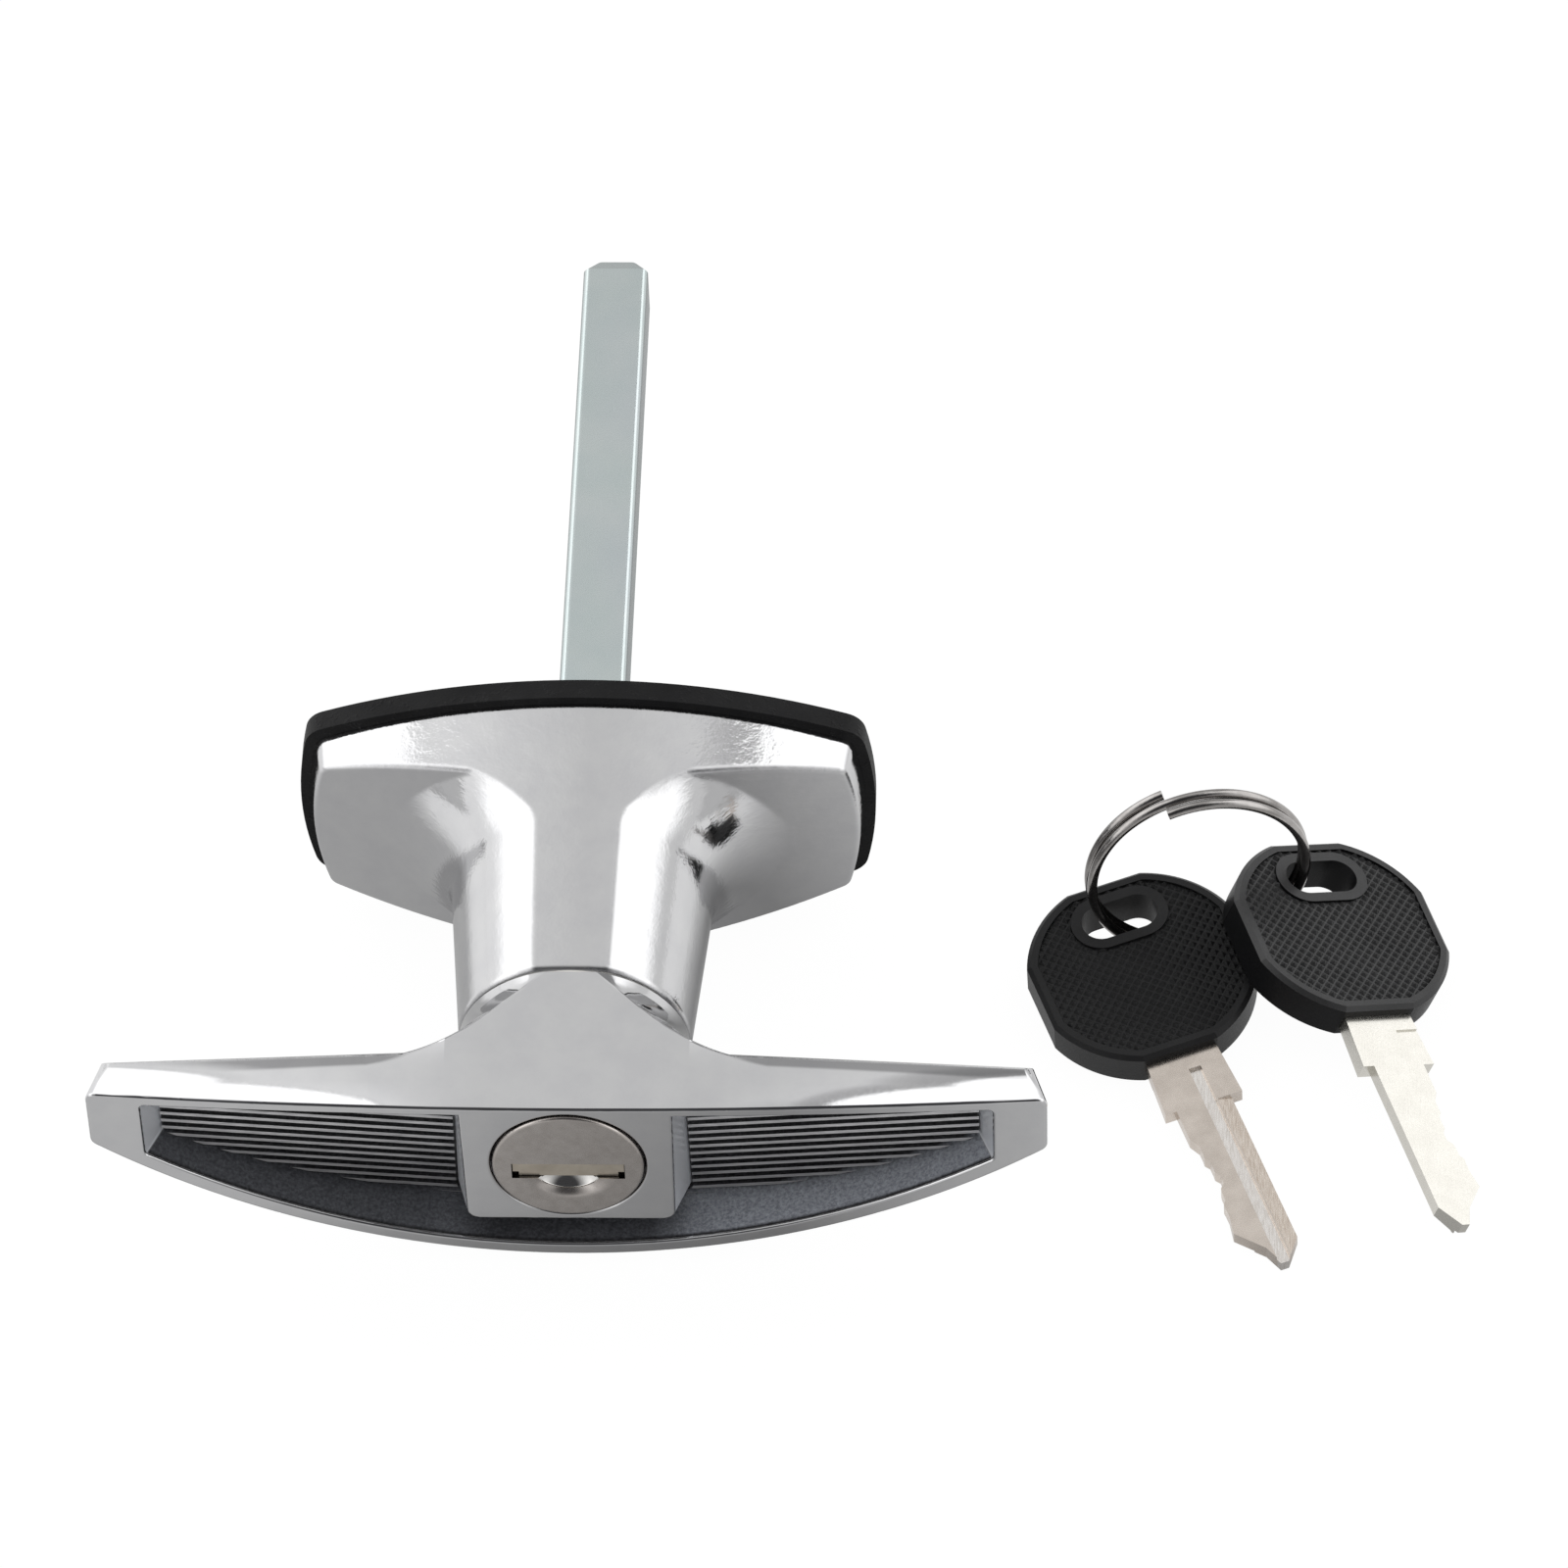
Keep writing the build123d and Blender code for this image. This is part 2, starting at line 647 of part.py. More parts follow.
def rib_set():
    """Fine ribs on both floors of the recess."""
    half = RIB_WIDE / 2
    top = RIB_TOP_WIDE / 2
    profile = Polyline(
        (RIB_SINK, -half), (RIB_SINK, half), (0, half),
        (-RIB_HIGH, top), (-RIB_HIGH, -top), (0, -half), close=True,
    )
    rib = extrude(Plane.YZ * make_face(profile), RECESS_HALF_LONG, dir=(1, 0, 0))
    lean = math.degrees(math.atan(RECESS_FLOOR_SLOPE))
    ribs = []
    for index in range(RIB_COUNT):
        z = RIB_LOWEST + index * RIB_PITCH
        place = Pos(BLOCK_HALF_TOP, -RECESS_FLOOR, z) * Rot(0, 0, -lean) * Rot(0, -RIB_SLOPE, 0)
        ribs.append(place * rib)
    room = loft([recess_face(FACE_FRONT, RIB_MARGIN), recess_face(RECESS_FLOOR - PAST, RIB_MARGIN)])
    room -= lock_block(RIB_MARGIN)
    right = (Part() + ribs) & room
    return right + mirror(right, Plane.YZ)


def stem_body():
    """Stem that runs through the escutcheon."""
    stem = rod(STEM_R, STEM_END, HUB_REAR + PAST)
    for side in (-1, 1):
        x_range = (side * STEM_FLAT, side * (STEM_R + PAST))
        stem -= block(x_range, (STEM_END - PAST, SEAT_DEPTH - RUN_GAP), both(STEM_R))
    groove_r = CIRCLIP_GROOVE_R
    back = CIRCLIP_FRONT - CIRCLIP_THICK - FIT_GAP
    stem -= ring_disc(groove_r, STEM_R + PAST, back, CIRCLIP_FRONT + FIT_GAP)
    return stem


def spindle_face(grow=0.0):
    """Square section of the spindle with rounded corners."""
    side = SPINDLE_SQUARE + 2 * grow
    return RectangleRounded(side, side, SPINDLE_CORNER_R)


def lock_cavity():
    """Everything that the cylinder lock and bolt need inside the handle."""
    cut = rod(PLUG_HEAD_R + PLUG_HEAD_GAP, HEAD_BACK - RUN_GAP, FACE_FRONT + FRONT_CLEAR)
    cut += rod(PLUG_BODY_R + RUN_GAP, PLUG_END - RUN_GAP, FACE_FRONT)
    last = WAFER_FIRST - (WAFER_COUNT - 1) * WAFER_PITCH
    channel = block(both(WAFER_GROOVE_R), (last - WAFER_THICK, WAFER_FIRST + WAFER_THICK),
                    both(WAFER_HALF_TALL + RUN_GAP))
    cut += channel & rod(WAFER_GROOVE_R, 0, FACE_FRONT)
    room = KEEPER_THICK / 2 + 2 * RUN_GAP
    cut += rod(KEEPER_GROOVE_R, KEEPER_DEPTH - room, KEEPER_DEPTH + room)
    throw_r = THROW_R + THROW_PIN_R + THROW_ROOM_GAP
    throw_end = PLUG_END - THROW_PIN_LONG - 2 * RUN_GAP
    cut += rod(throw_r, throw_end, PLUG_END)
    tunnel = -(BOLT_INNER + BOLT_END_GAP)
    cut += cross_rod(BOLT_R + RUN_GAP, tunnel, STEM_R + PAST, BOLT_DEPTH)
    return cut


def front_face(body):
    """Crowned face of the bar."""
    faces = [
        face for face in body.faces()
        if face.bounding_box().min.Y < TINY - FACE_FRONT and face.normal_at().Y < -math.sqrt(0.5)
    ]
    return max(faces, key=lambda face: face.area)


def round_front(body):
    """Take the sharp edge off the face, its recess and its bore."""
    rims = []
    for wire in front_face(body).inner_wires():
        rims += wire.edges()
    body = soften(body, rims, RECESS_EDGE)
    return soften(body, front_face(body).outer_wire().edges(), FACE_EDGE)


def make_handle():
    """Bar, hub and stem in one casting."""
    hollow = recess_body() - lock_block()
    body = bar_body() + hub_body() + stem_body()
    rear = top_edges(body, HUB_R, BAR_HALF_LONG - BAR_BACK_INSET)
    body = soften(body, rear, BAR_REAR_EDGE)
    body = soften(body, top_edges(body, TINY, HUB_R), HUB_CREASE_EDGE)
    body -= hollow
    body += rib_set()
    body -= lock_cavity()
    socket = extrude(facing(STEM_END - PAST) * spindle_face(FIT_GAP),
                     SPINDLE_SEAT + FIT_GAP - STEM_END + PAST, dir=(0, -1, 0))
    body -= socket
    body -= Pos(0, -CROSS_PIN_DEPTH, 0) * Cylinder(CROSS_PIN_R + TINY, 2 * (STEM_R + PAST))
    return round_front(body)


# Cylinder lock

def wafer_depths():
    """Depths of the wafers, front to back."""
    return [WAFER_FIRST - index * WAFER_PITCH for index in range(WAFER_COUNT)]


def make_plug():
    """Round plug with key slot, shutter room, wafer slots and drive pin."""
    plug = rod(PLUG_HEAD_R, HEAD_BACK, PLUG_FACE)
    rim = plug.edges().filter_by(GeomType.CIRCLE).sort_by(Axis.Y)[0]
    plug = fillet(rim, PLUG_EDGE_R)
    scoop_z = SCOOP_LOW + SCOOP_R
    sink = math.sqrt(SCOOP_R ** 2 - SCOOP_HALF_LONG ** 2)
    ball_depth = PLUG_FACE + sink + SCOOP_LIFT
    scoop = Pos(0, -ball_depth, scoop_z) * Sphere(SCOOP_R)
    low_half = block(both(SCOOP_R), (0, PLUG_FACE + PAST), (SCOOP_LOW - PAST, SLOT_CENTRE))
    plug -= scoop & low_half
    plug += rod(PLUG_BODY_R, PLUG_END, HEAD_BACK + PAST)
    slot_z = around(SLOT_CENTRE, SLOT_TALL)
    plug -= block(both(SLOT_HALF_LONG), (SHUTTER_FRONT - PAST, PLUG_FACE + PAST), slot_z)
    room_low = slot_z[0] - RUN_GAP
    room_top = SHUTTER_PIN_Z + SHUTTER_BARREL_R + RUN_GAP
    plug -= block(both(SHUTTER_ROOM_HALF), (SHUTTER_FRONT - SHUTTER_ROOM_DEEP, SHUTTER_FRONT),
                  (room_low, room_top))
    pin_half = SHUTTER_PIN_LONG / 2 + FIT_GAP
    plug -= cross_rod(SHUTTER_PIN_R + TINY, -pin_half, pin_half, SHUTTER_PIN_DEPTH, SHUTTER_PIN_Z)
    plug -= block(both(KEYWAY_WIDE / 2), (KEYWAY_END, SHUTTER_FRONT),
                  around(SLOT_CENTRE, KEYWAY_TALL))
    for depth in wafer_depths():
        gap_range = around(depth, WAFER_THICK + 2 * RUN_GAP)
        plug -= block(both(PLUG_BODY_R + PAST), gap_range, both(WAFER_HALF_TALL + FIT_GAP))
        ear_top = WAFER_HALF_TALL + WAFER_EAR_TALL + FIT_GAP
        ear_end = WAFER_EAR_X + WAFER_EAR_LONG + BITTING_MIDDLE
        spring_start = WAFER_EAR_X - WAFER_SPRING_LONG - BITTING_MIDDLE
        plug -= block((spring_start, ear_end), gap_range, (0, ear_top))
    keeper_slot = block((0, KEEPER_OUTER + PAST), around(KEEPER_DEPTH, KEEPER_THICK + 2 * FIT_GAP),
                        around(0, KEEPER_TALL + 2 * FIT_GAP))
    spring_seat = KEEPER_INNER - KEEPER_SPRING_LONG
    keeper_slot -= block((0, spring_seat), (0, FACE_FRONT), both(KEEPER_TALL))
    plug -= keeper_slot
    angle = math.radians(THROW_START)
    plug += rod(THROW_PIN_R, PLUG_END - THROW_PIN_LONG, PLUG_END + PAST,
                THROW_R * math.cos(angle), THROW_R * math.sin(angle))
    return plug


def wafer_shift(index):
    """Sideways place of a wafer for the key cut that it meets."""
    return BITTING[index] - BITTING_MIDDLE


def make_wafer(index):
    """One wafer, at the height that the right key gives it."""
    depth = wafer_depths()[index]
    shift = wafer_shift(index)
    layer = around(depth, WAFER_THICK)
    plate = block(both(WAFER_HALF_LONG), layer, both(WAFER_HALF_TALL))
    window_x = around(WAFER_WINDOW_SHARE * shift, WAFER_WINDOW_LONG)
    plate -= block(window_x, around(depth, 2 * WAFER_THICK), around(SLOT_CENTRE, WAFER_WINDOW_TALL))
    ear_x = (WAFER_EAR_X, WAFER_EAR_X + WAFER_EAR_LONG)
    plate += block(ear_x, layer, (WAFER_HALF_TALL - PAST, WAFER_HALF_TALL + WAFER_EAR_TALL))
    return plate


def make_wafer_springs():
    """A small spring beside each wafer, drawn as a plain sleeve."""
    z = WAFER_HALF_TALL + WAFER_EAR_TALL / 2 + FIT_GAP
    springs = []
    for depth in wafer_depths():
        start = WAFER_EAR_X - WAFER_SPRING_LONG
        end = WAFER_EAR_X - TINY
        sleeve = cross_rod(WAFER_SPRING_R, start, end, depth, z)
        sleeve -= cross_rod(WAFER_SPRING_BORE_R, start - PAST, end + PAST, depth, z)
        springs.append(sleeve)
    return Compound(children=springs)


def make_keeper():
    """Sprung wafer that holds the plug in the handle."""
    plate = block((KEEPER_INNER, KEEPER_OUTER), around(KEEPER_DEPTH, KEEPER_THICK),
                  around(0, KEEPER_TALL))
    return plate


def make_keeper_spring():
    """Small spring behind the keeper, drawn as a plain sleeve."""
    start = KEEPER_INNER - KEEPER_SPRING_LONG + TINY
    end = KEEPER_INNER - TINY
    radius = KEEPER_THICK / 2 - FIT_GAP
    sleeve = cross_rod(radius, start, end, KEEPER_DEPTH)
    return sleeve - cross_rod(radius / 2, start - PAST, end + PAST, KEEPER_DEPTH)


def make_bolt():
    """Locking bolt in its drawn-in place."""
    bolt = cross_rod(BOLT_R, -BOLT_INNER, BOLT_OUTER, BOLT_DEPTH)
    nose = bolt.edges().filter_by(GeomType.CIRCLE).sort_by(Axis.X)[-1]
    bolt = chamfer(nose, BOLT_NOSE)
    reach = THROW_PIN_R + THROW_SLACK
    low = THROW_R * math.sin(math.radians(THROW_START)) - reach
    pin_end = PLUG_END - THROW_PIN_LONG
    slot = block(around(BOLT_SHIFT, 2 * reach), (pin_end - RUN_GAP, BOLT_DEPTH + BOLT_R + PAST),
                 (low, BOLT_R + PAST))
    return bolt - slot


def make_shutter():
    """Brass flap that closes the key slot from behind."""
    top = SHUTTER_PIN_Z
    plate = block(both(SHUTTER_HALF_LONG), (SHUTTER_FRONT - SHUTTER_THICK, SHUTTER_FRONT - TINY),
                  (SHUTTER_LOW, top))
    for side in (-1, 1):
        x = side * SHUTTER_HALF_LONG
        plate -= block(around(x, 2 * SHUTTER_NOTCH), (0, PLUG_FACE),
                       (SHUTTER_LOW - PAST, SHUTTER_LOW + SHUTTER_NOTCH))
    barrel = cross_rod(SHUTTER_BARREL_R - TINY, -SHUTTER_HALF_LONG, SHUTTER_HALF_LONG,
                       SHUTTER_PIN_DEPTH, SHUTTER_PIN_Z)
    flap = plate + barrel
    gap = SHUTTER_SPRING_LONG / 2 + FIT_GAP
    flap -= block(both(gap), (0, SHUTTER_FRONT - SHUTTER_THICK), (0, top + PAST))
    flap -= block(both(gap), (0, PLUG_FACE), (top - SHUTTER_BARREL_R, top + PAST))
    flap -= cross_rod(SHUTTER_PIN_R + FIT_GAP, -SHUTTER_PIN_LONG, SHUTTER_PIN_LONG,
                      SHUTTER_PIN_DEPTH, SHUTTER_PIN_Z)
    return flap


def make_shutter_pin():
    """Hinge pin of the shutter."""
    half = SHUTTER_PIN_LONG / 2
    return cross_rod(SHUTTER_PIN_R, -half, half, SHUTTER_PIN_DEPTH, SHUTTER_PIN_Z)


def make_shutter_spring():
    """Torsion spring on the hinge pin, drawn as a plain sleeve."""
    half = SHUTTER_SPRING_LONG / 2
    outer = SHUTTER_BARREL_R - FIT_GAP
    sleeve = cross_rod(outer, -half, half, SHUTTER_PIN_DEPTH, SHUTTER_PIN_Z)
    end = half + PAST
    bore = cross_rod(SHUTTER_PIN_R + TINY, -end, end, SHUTTER_PIN_DEPTH, SHUTTER_PIN_Z)
    return sleeve - bore


# Washers, ring, spindle and pin

def make_thrust_washer():
    """Nylon washer between hub and neck."""
    return ring_disc(STEM_R + 2 * RUN_GAP, THRUST_R, NECK_FRONT, NECK_FRONT + THRUST_THICK)


def make_stop_washer():
    """Keyed washer whose tab limits the turn."""
    back = STOP_FRONT - STOP_THICK
    disc = rod(STOP_R, back, STOP_FRONT)
    disc += arc_sector(STOP_TAB_R, STEM_R, STOP_TAB_AT, STOP_TAB_HALF, back, STOP_FRONT)
    hole = rod(STEM_R + FIT_GAP, back - PAST, STOP_FRONT + PAST)
    hole &= block(both(STEM_FLAT + FIT_GAP), (0, SEAT_DEPTH + PAST), both(STEM_R + PAST))
    return disc - hole


def make_spring_washer():
    """Ring bent to a shallow bow, which takes up the play."""
    inner = STEM_R + FIT_GAP
    outer = inner + SPRING_WIDE
    low = SPRING_FRONT - SPRING_RISE - SPRING_THICK
    plan = Curve() + [
        ThreePointArc((-outer, -low), (0, -low - SPRING_RISE), (outer, -low)),
        Line((outer, -low), (outer, -low - SPRING_THICK)),
        ThreePointArc((outer, -low - SPRING_THICK), (0, -SPRING_FRONT), (-outer, -low - SPRING_THICK)),
        Line((-outer, -low - SPRING_THICK), (-outer, -low)),
    ]
    band = extrude(Plane.XY.offset(-outer) * make_face(plan), 2 * outer, dir=(0, 0, 1))
    return band & ring_disc(inner, outer, low - PAST, SPRING_FRONT + PAST)


def make_circlip():
    """Open retaining ring with two ears."""
    back = CIRCLIP_FRONT - CIRCLIP_THICK
    inner = CIRCLIP_GROOVE_R + FIT_GAP
    ring = ring_disc(inner, CIRCLIP_R, back, CIRCLIP_FRONT)
    half = CIRCLIP_OPEN / 2
    ring -= arc_sector(CIRCLIP_R + PAST, inner - PAST, CIRCLIP_OPEN_AT, half,
                       back - PAST, CIRCLIP_FRONT + PAST)
    eyes = []
    for side in (-1, 1):
        angle = math.radians(CIRCLIP_OPEN_AT + side * (half + CIRCLIP_EAR_BACK))
        x = CIRCLIP_EAR_AT * math.cos(angle)
        z = CIRCLIP_EAR_AT * math.sin(angle)
        ring += rod(CIRCLIP_EAR_R, back, CIRCLIP_FRONT, x, z)
        eyes.append(rod(CIRCLIP_EYE_R, back - PAST, CIRCLIP_FRONT + PAST, x, z))
    ring -= rod(inner, back - PAST, CIRCLIP_FRONT + PAST)
    for eye in eyes:
        ring -= eye
    return ring


def make_spindle():
    """Square spindle with a tapered tip."""
    straight = SPINDLE_REACH - SPINDLE_TIP_LONG
    face = facing(SPINDLE_SEAT) * spindle_face()
    bar = extrude(face, SPINDLE_SEAT + straight, dir=(0, 1, 0))
    tip_side = SPINDLE_SQUARE - 2 * SPINDLE_TIP_INSET
    foot = facing(-straight) * spindle_face()
    end = facing(-SPINDLE_REACH) * RectangleRounded(tip_side, tip_side, SPINDLE_CORNER_R)
    bar += loft([foot, end])
    bar -= Pos(0, -CROSS_PIN_DEPTH, 0) * Cylinder(CROSS_PIN_R + TINY, 2 * STEM_R)
    return bar


def make_cross_pin():
    """Roll pin through stem and spindle."""
    pin = Cylinder(CROSS_PIN_R, CROSS_PIN_LONG)
    pin -= Cylinder(CROSS_PIN_BORE_R, CROSS_PIN_LONG + 2 * PAST)
    return Pos(0, -CROSS_PIN_DEPTH, 0) * pin


# Keys and ring, drawn flat with X towards the tip and Y across

def make_bow():
    """Moulded key bow with a raised border."""
    half = BOW_THICK / 2
    body = Cylinder(BOW_R, BOW_THICK) & Box(2 * BOW_FLAT, 2 * BOW_FLAT, BOW_THICK)
    body = chamfer(body.faces().filter_by(Axis.Z).edges(), BOW_EDGE)
    hole = Pos(-BOW_HOLE_AT, 0, 0) * Rot(0, 0, 90) * SlotOverall(2 * BOW_HOLE_HALF_LONG,
                                                                 BOW_HOLE_TALL)
    hole_rim = Pos(-BOW_HOLE_AT, 0, 0) * Rot(0, 0, 90) * SlotOverall(
        2 * (BOW_HOLE_HALF_LONG + BOW_RIM), BOW_HOLE_TALL + 2 * BOW_RIM)
    inner_r = BOW_R - BOW_RIM
    inner_flat = 2 * (BOW_FLAT - BOW_RIM)
    field = Circle(inner_r) & Rectangle(inner_flat, inner_flat)
    field -= hole_rim
    for side in (-1, 1):
        sheet = extrude(Pos(0, 0, side * half) * field, -side * BOW_SINK)
        body -= sheet
    body -= extrude(Pos(0, 0, -half - PAST) * hole, BOW_THICK + 2 * PAST)
    tang = Box(BOW_R, 2 * (BLADE_TANG_HALF + TINY), BLADE_THICK + 2 * TINY,
               align=(Align.MIN, Align.CENTER, Align.CENTER))
    body -= Pos(BLADE_TANG_START - TINY, 0, 0) * tang
    return body


def bitting_line():
    """Wavy edge of the key's cuts, from the tip back to the shoulder."""
    wide = BLADE_HALF_WIDE
    flat = BITE_WIDE / 2
    start = BLADE_SHOULDER + BITTING_START
    places = [start + index * WAFER_PITCH for index in range(WAFER_COUNT)]
    points = [(places[-1] + flat + BITE_RUN_OUT, wide)]
    for index in reversed(range(WAFER_COUNT)):
        points.append((places[index] + flat, wide - BITTING[index]))
        points.append((places[index] - flat, wide - BITTING[index]))
        if index > 0:
            middle = (places[index] + places[index - 1]) / 2
            deep = (BITTING[index] + BITTING[index - 1]) / 2
            points.append((middle, wide - deep + BITE_BUMP))
    points.append((places[0] - flat - BITE_LEAD_IN, wide))
    return points


def blade_face():
    """Outline of the blade with its cuts on the +Y edge."""
    wide = BLADE_HALF_WIDE
    bow_end = BOW_FLAT + TINY
    cuts = bitting_line()
    points = [
        (BLADE_TANG_START, -BLADE_TANG_HALF), (bow_end, -BLADE_TANG_HALF),
        (bow_end, -BLADE_COLLAR_NECK), (BLADE_SHOULDER, -BLADE_COLLAR), (BLADE_SHOULDER, -wide),
        (BLADE_TIP - BLADE_POINT, -wide), (BLADE_TIP, BLADE_TIP_HIGH), (BLADE_TIP, BLADE_TIP_LOW),
        (BLADE_TIP - BLADE_TIP_STEP, BLADE_TIP_KNEE), (BLADE_TIP - BLADE_LONG_POINT, wide),
    ]
    points += cuts
    points += [
        (BLADE_SHOULDER, wide), (BLADE_SHOULDER, BLADE_COLLAR), (bow_end, BLADE_COLLAR_NECK),
        (bow_end, BLADE_TANG_HALF), (BLADE_TANG_START, BLADE_TANG_HALF),
    ]
    face = Sketch() + make_face(Polyline(*points, close=True))
    waves = [
        vertex for vertex in face.vertices()
        if min(math.dist((vertex.X, vertex.Y), cut) for cut in cuts) < TINY
    ]
    return fillet(waves, BITE_ROUND)


def make_blade(cut_side):
    """Key blade with a collar, wavy cuts along one edge, a groove and two milled steps."""
    half = BLADE_THICK / 2
    blade = extrude(Pos(0, 0, -half) * blade_face(), BLADE_THICK, dir=(0, 0, 1))
    start = BLADE_SHOULDER - BLADE_GROOVE_LEAD
    groove = Box(BLADE_TIP, BLADE_GROOVE_WIDE, 2 * BLADE_GROOVE_DEEP,
                 align=(Align.MIN, Align.CENTER, Align.CENTER))
    blade -= Pos(start, -BLADE_GROOVE_OFF, half) * groove
    wide = BLADE_HALF_WIDE
    fall = BLADE_SHELF_DROP + BLADE_SHELF_FALL
    profile = Polyline(
        (-BLADE_SHELF_FROM, half - BLADE_SHELF_DROP), (-wide, half - fall),
        (-wide - PAST, half - fall), (-wide - PAST, half + PAST), (-BLADE_SHELF_FROM, half + PAST),
        close=True,
    )
    shelf = extrude(Plane.YZ * make_face(profile), BLADE_TIP, dir=(1, 0, 0))
    blade -= Pos(BLADE_SHOULDER, 0, 0) * shelf
    step = Box(BLADE_TIP, BLADE_COLLAR, 2 * BLADE_STEP_DEEP,
               align=(Align.MIN, Align.MIN, Align.CENTER))
    blade -= Pos(start, BLADE_STEP_FROM, -half) * step
    return blade if cut_side > 0 else mirror(blade, Plane.XZ)


def key_place(x, y, lift, turn_angle, side_tilt, tip_tilt):
    """Pose of a key on the bench: bow centre, tilt across and tilt towards the tip."""
    turn = math.radians(turn_angle)
    along = Vector(math.sin(turn), -math.cos(turn), tip_tilt).normalized()
    across = Vector(math.cos(turn), math.sin(turn), side_tilt)
    normal = along.cross(across).normalized()
    plane = Plane(origin=(x, y, BENCH + lift + BOW_THICK / 2), x_dir=along, z_dir=normal)
    return plane.location


def make_ring():
    """Split ring of two turns, one unbroken wire."""
    path = Helix(pitch=RING_TURN_PITCH, height=RING_TURN_PITCH * RING_TURNS, radius=RING_R)
    section = Plane(origin=path @ 0, z_dir=path % 0) * Circle(RING_WIRE_R)
    wire = sweep(section, path)
    wire = Pos(0, 0, -RING_TURN_PITCH * RING_TURNS / 2) * wire
    facing_angle = math.radians(RING_FACING)
    lean = math.radians(RING_LEAN)
    normal = Vector(math.sin(facing_angle) * math.cos(lean),
                    -math.cos(facing_angle) * math.cos(lean), math.sin(lean))
    level = Vector(math.cos(facing_angle), math.sin(facing_angle), 0)
    half_pitch = RING_TURN_PITCH * RING_TURNS / 2
    centre_z = BENCH + RING_WIRE_R + RING_R * math.cos(lean) + half_pitch * math.sin(lean) + TINY
    plane = Plane(origin=(RING_X, RING_Y, centre_z), x_dir=level, z_dir=normal)
    return plane.location * Rot(0, 0, RING_START) * wire


def ring_gap():
    """Least gap between the two turns of the ring, on points along the wire."""
    steps = 90
    least = RING_R
    for index in range(steps + 1):
        angle = 2 * math.pi * index / steps
        first = (RING_R * math.cos(angle), RING_R * math.sin(angle), index / steps)
        for other in range(steps + 1):
            if abs(other - index) < steps // 6:
                turn = 2 * math.pi * other / steps
                height = 1 + other / steps
                second = (RING_R * math.cos(turn), RING_R * math.sin(turn), height)
                rise = (second[2] - first[2]) * RING_TURN_PITCH
                flat = math.dist(first[:2], second[:2])
                least = min(least, math.hypot(rise, flat) - 2 * RING_WIRE_R)
    return least


def main():
    """Make and write every piece."""
    os.makedirs(PARTS, exist_ok=True)
    save(make_escutcheon(), "escutcheon")
    save(make_gasket(), "gasket")
    save(make_handle(), "handle")
    save(make_plug(), "lock_plug")
    for index in range(WAFER_COUNT):
        save(make_wafer(index), "wafer_" + str(index + 1))
    save(make_wafer_springs(), "wafer_springs")
    save(make_keeper(), "keeper_wafer")
    save(make_keeper_spring(), "keeper_spring")
    save(make_bolt(), "locking_bolt")
    save(make_shutter(), "dust_shutter")
    save(make_shutter_pin(), "shutter_pin")
    save(make_shutter_spring(), "shutter_spring")
    save(make_thrust_washer(), "thrust_washer")
    save(make_stop_washer(), "stop_washer")
    save(make_spring_washer(), "spring_washer")
    save(make_circlip(), "circlip")
    save(make_spindle(), "spindle")
    save(make_cross_pin(), "cross_pin")
    place_a = key_place(KEY_A_X, KEY_A_Y, KEY_A_LIFT, KEY_A_TURN, KEY_A_SIDE_TILT, KEY_A_TIP_TILT)
    place_b = key_place(KEY_B_X, KEY_B_Y, KEY_B_LIFT, KEY_B_TURN, KEY_B_SIDE_TILT, KEY_B_TIP_TILT)
    save(place_a * make_bow(), "key_1_bow")
    save(place_a * make_blade(-1), "key_1_blade")
    save(place_b * make_bow(), "key_2_bow")
    save(place_b * make_blade(1), "key_2_blade")
    save(make_ring(), "split_ring")
    print("gap between the turns of the ring", round(ring_gap(), 3))
    print("bolt travel", round(BOLT_TRAVEL, 3))


main()
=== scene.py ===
import json
import math

import bpy
from mathutils import Matrix, Vector


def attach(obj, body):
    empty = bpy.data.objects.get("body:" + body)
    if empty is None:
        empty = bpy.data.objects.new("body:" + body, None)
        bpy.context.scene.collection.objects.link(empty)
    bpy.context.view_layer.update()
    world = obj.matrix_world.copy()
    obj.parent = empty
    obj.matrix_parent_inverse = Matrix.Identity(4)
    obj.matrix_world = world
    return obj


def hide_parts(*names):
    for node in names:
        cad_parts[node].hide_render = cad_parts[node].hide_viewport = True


# T-handle lock with its keys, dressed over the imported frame.
# Metres, +Y into the door along the spindle, -Y towards the user, +Z up.

MM = 0.001
BENCH = -18.4 * MM

# Bow of a key, millimetres
BOW_THICK = 4.9
BOW_FIELD_R = 12.2
BOW_FIELD_FLAT = 11.4
BOW_FIELD_DEPTH = 0.4
BOW_HOLE_AT = 7.4
HOLE_RIM_HALF = 3.75
HOLE_RIM_REACH = 2.25

# Small pyramids on the bows, millimetres and degrees
GRIP_CELLS = 30
GRIP_TURN = 45.0
GRIP_PITCH = 0.95
GRIP_LAND = 0.10
GRIP_TALL = 0.38
GRIP_RAISE = 0.02
GRIP_OVERLAP = 0.3
GRIP_BACKING = 0.12

# Edges of the turned blade that stay sharp are steeper than this, degrees
SMOOTH_ANGLE = 30.0

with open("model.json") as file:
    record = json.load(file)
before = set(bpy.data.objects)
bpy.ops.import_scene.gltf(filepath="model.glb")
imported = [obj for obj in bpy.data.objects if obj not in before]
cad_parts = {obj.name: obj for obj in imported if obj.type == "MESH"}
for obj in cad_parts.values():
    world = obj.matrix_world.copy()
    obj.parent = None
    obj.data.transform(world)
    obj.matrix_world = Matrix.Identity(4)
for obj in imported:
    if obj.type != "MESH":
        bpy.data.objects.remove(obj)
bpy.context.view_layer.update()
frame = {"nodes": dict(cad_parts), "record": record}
scene = bpy.context.scene
scene.view_settings.view_transform = "Standard"


# Small helpers

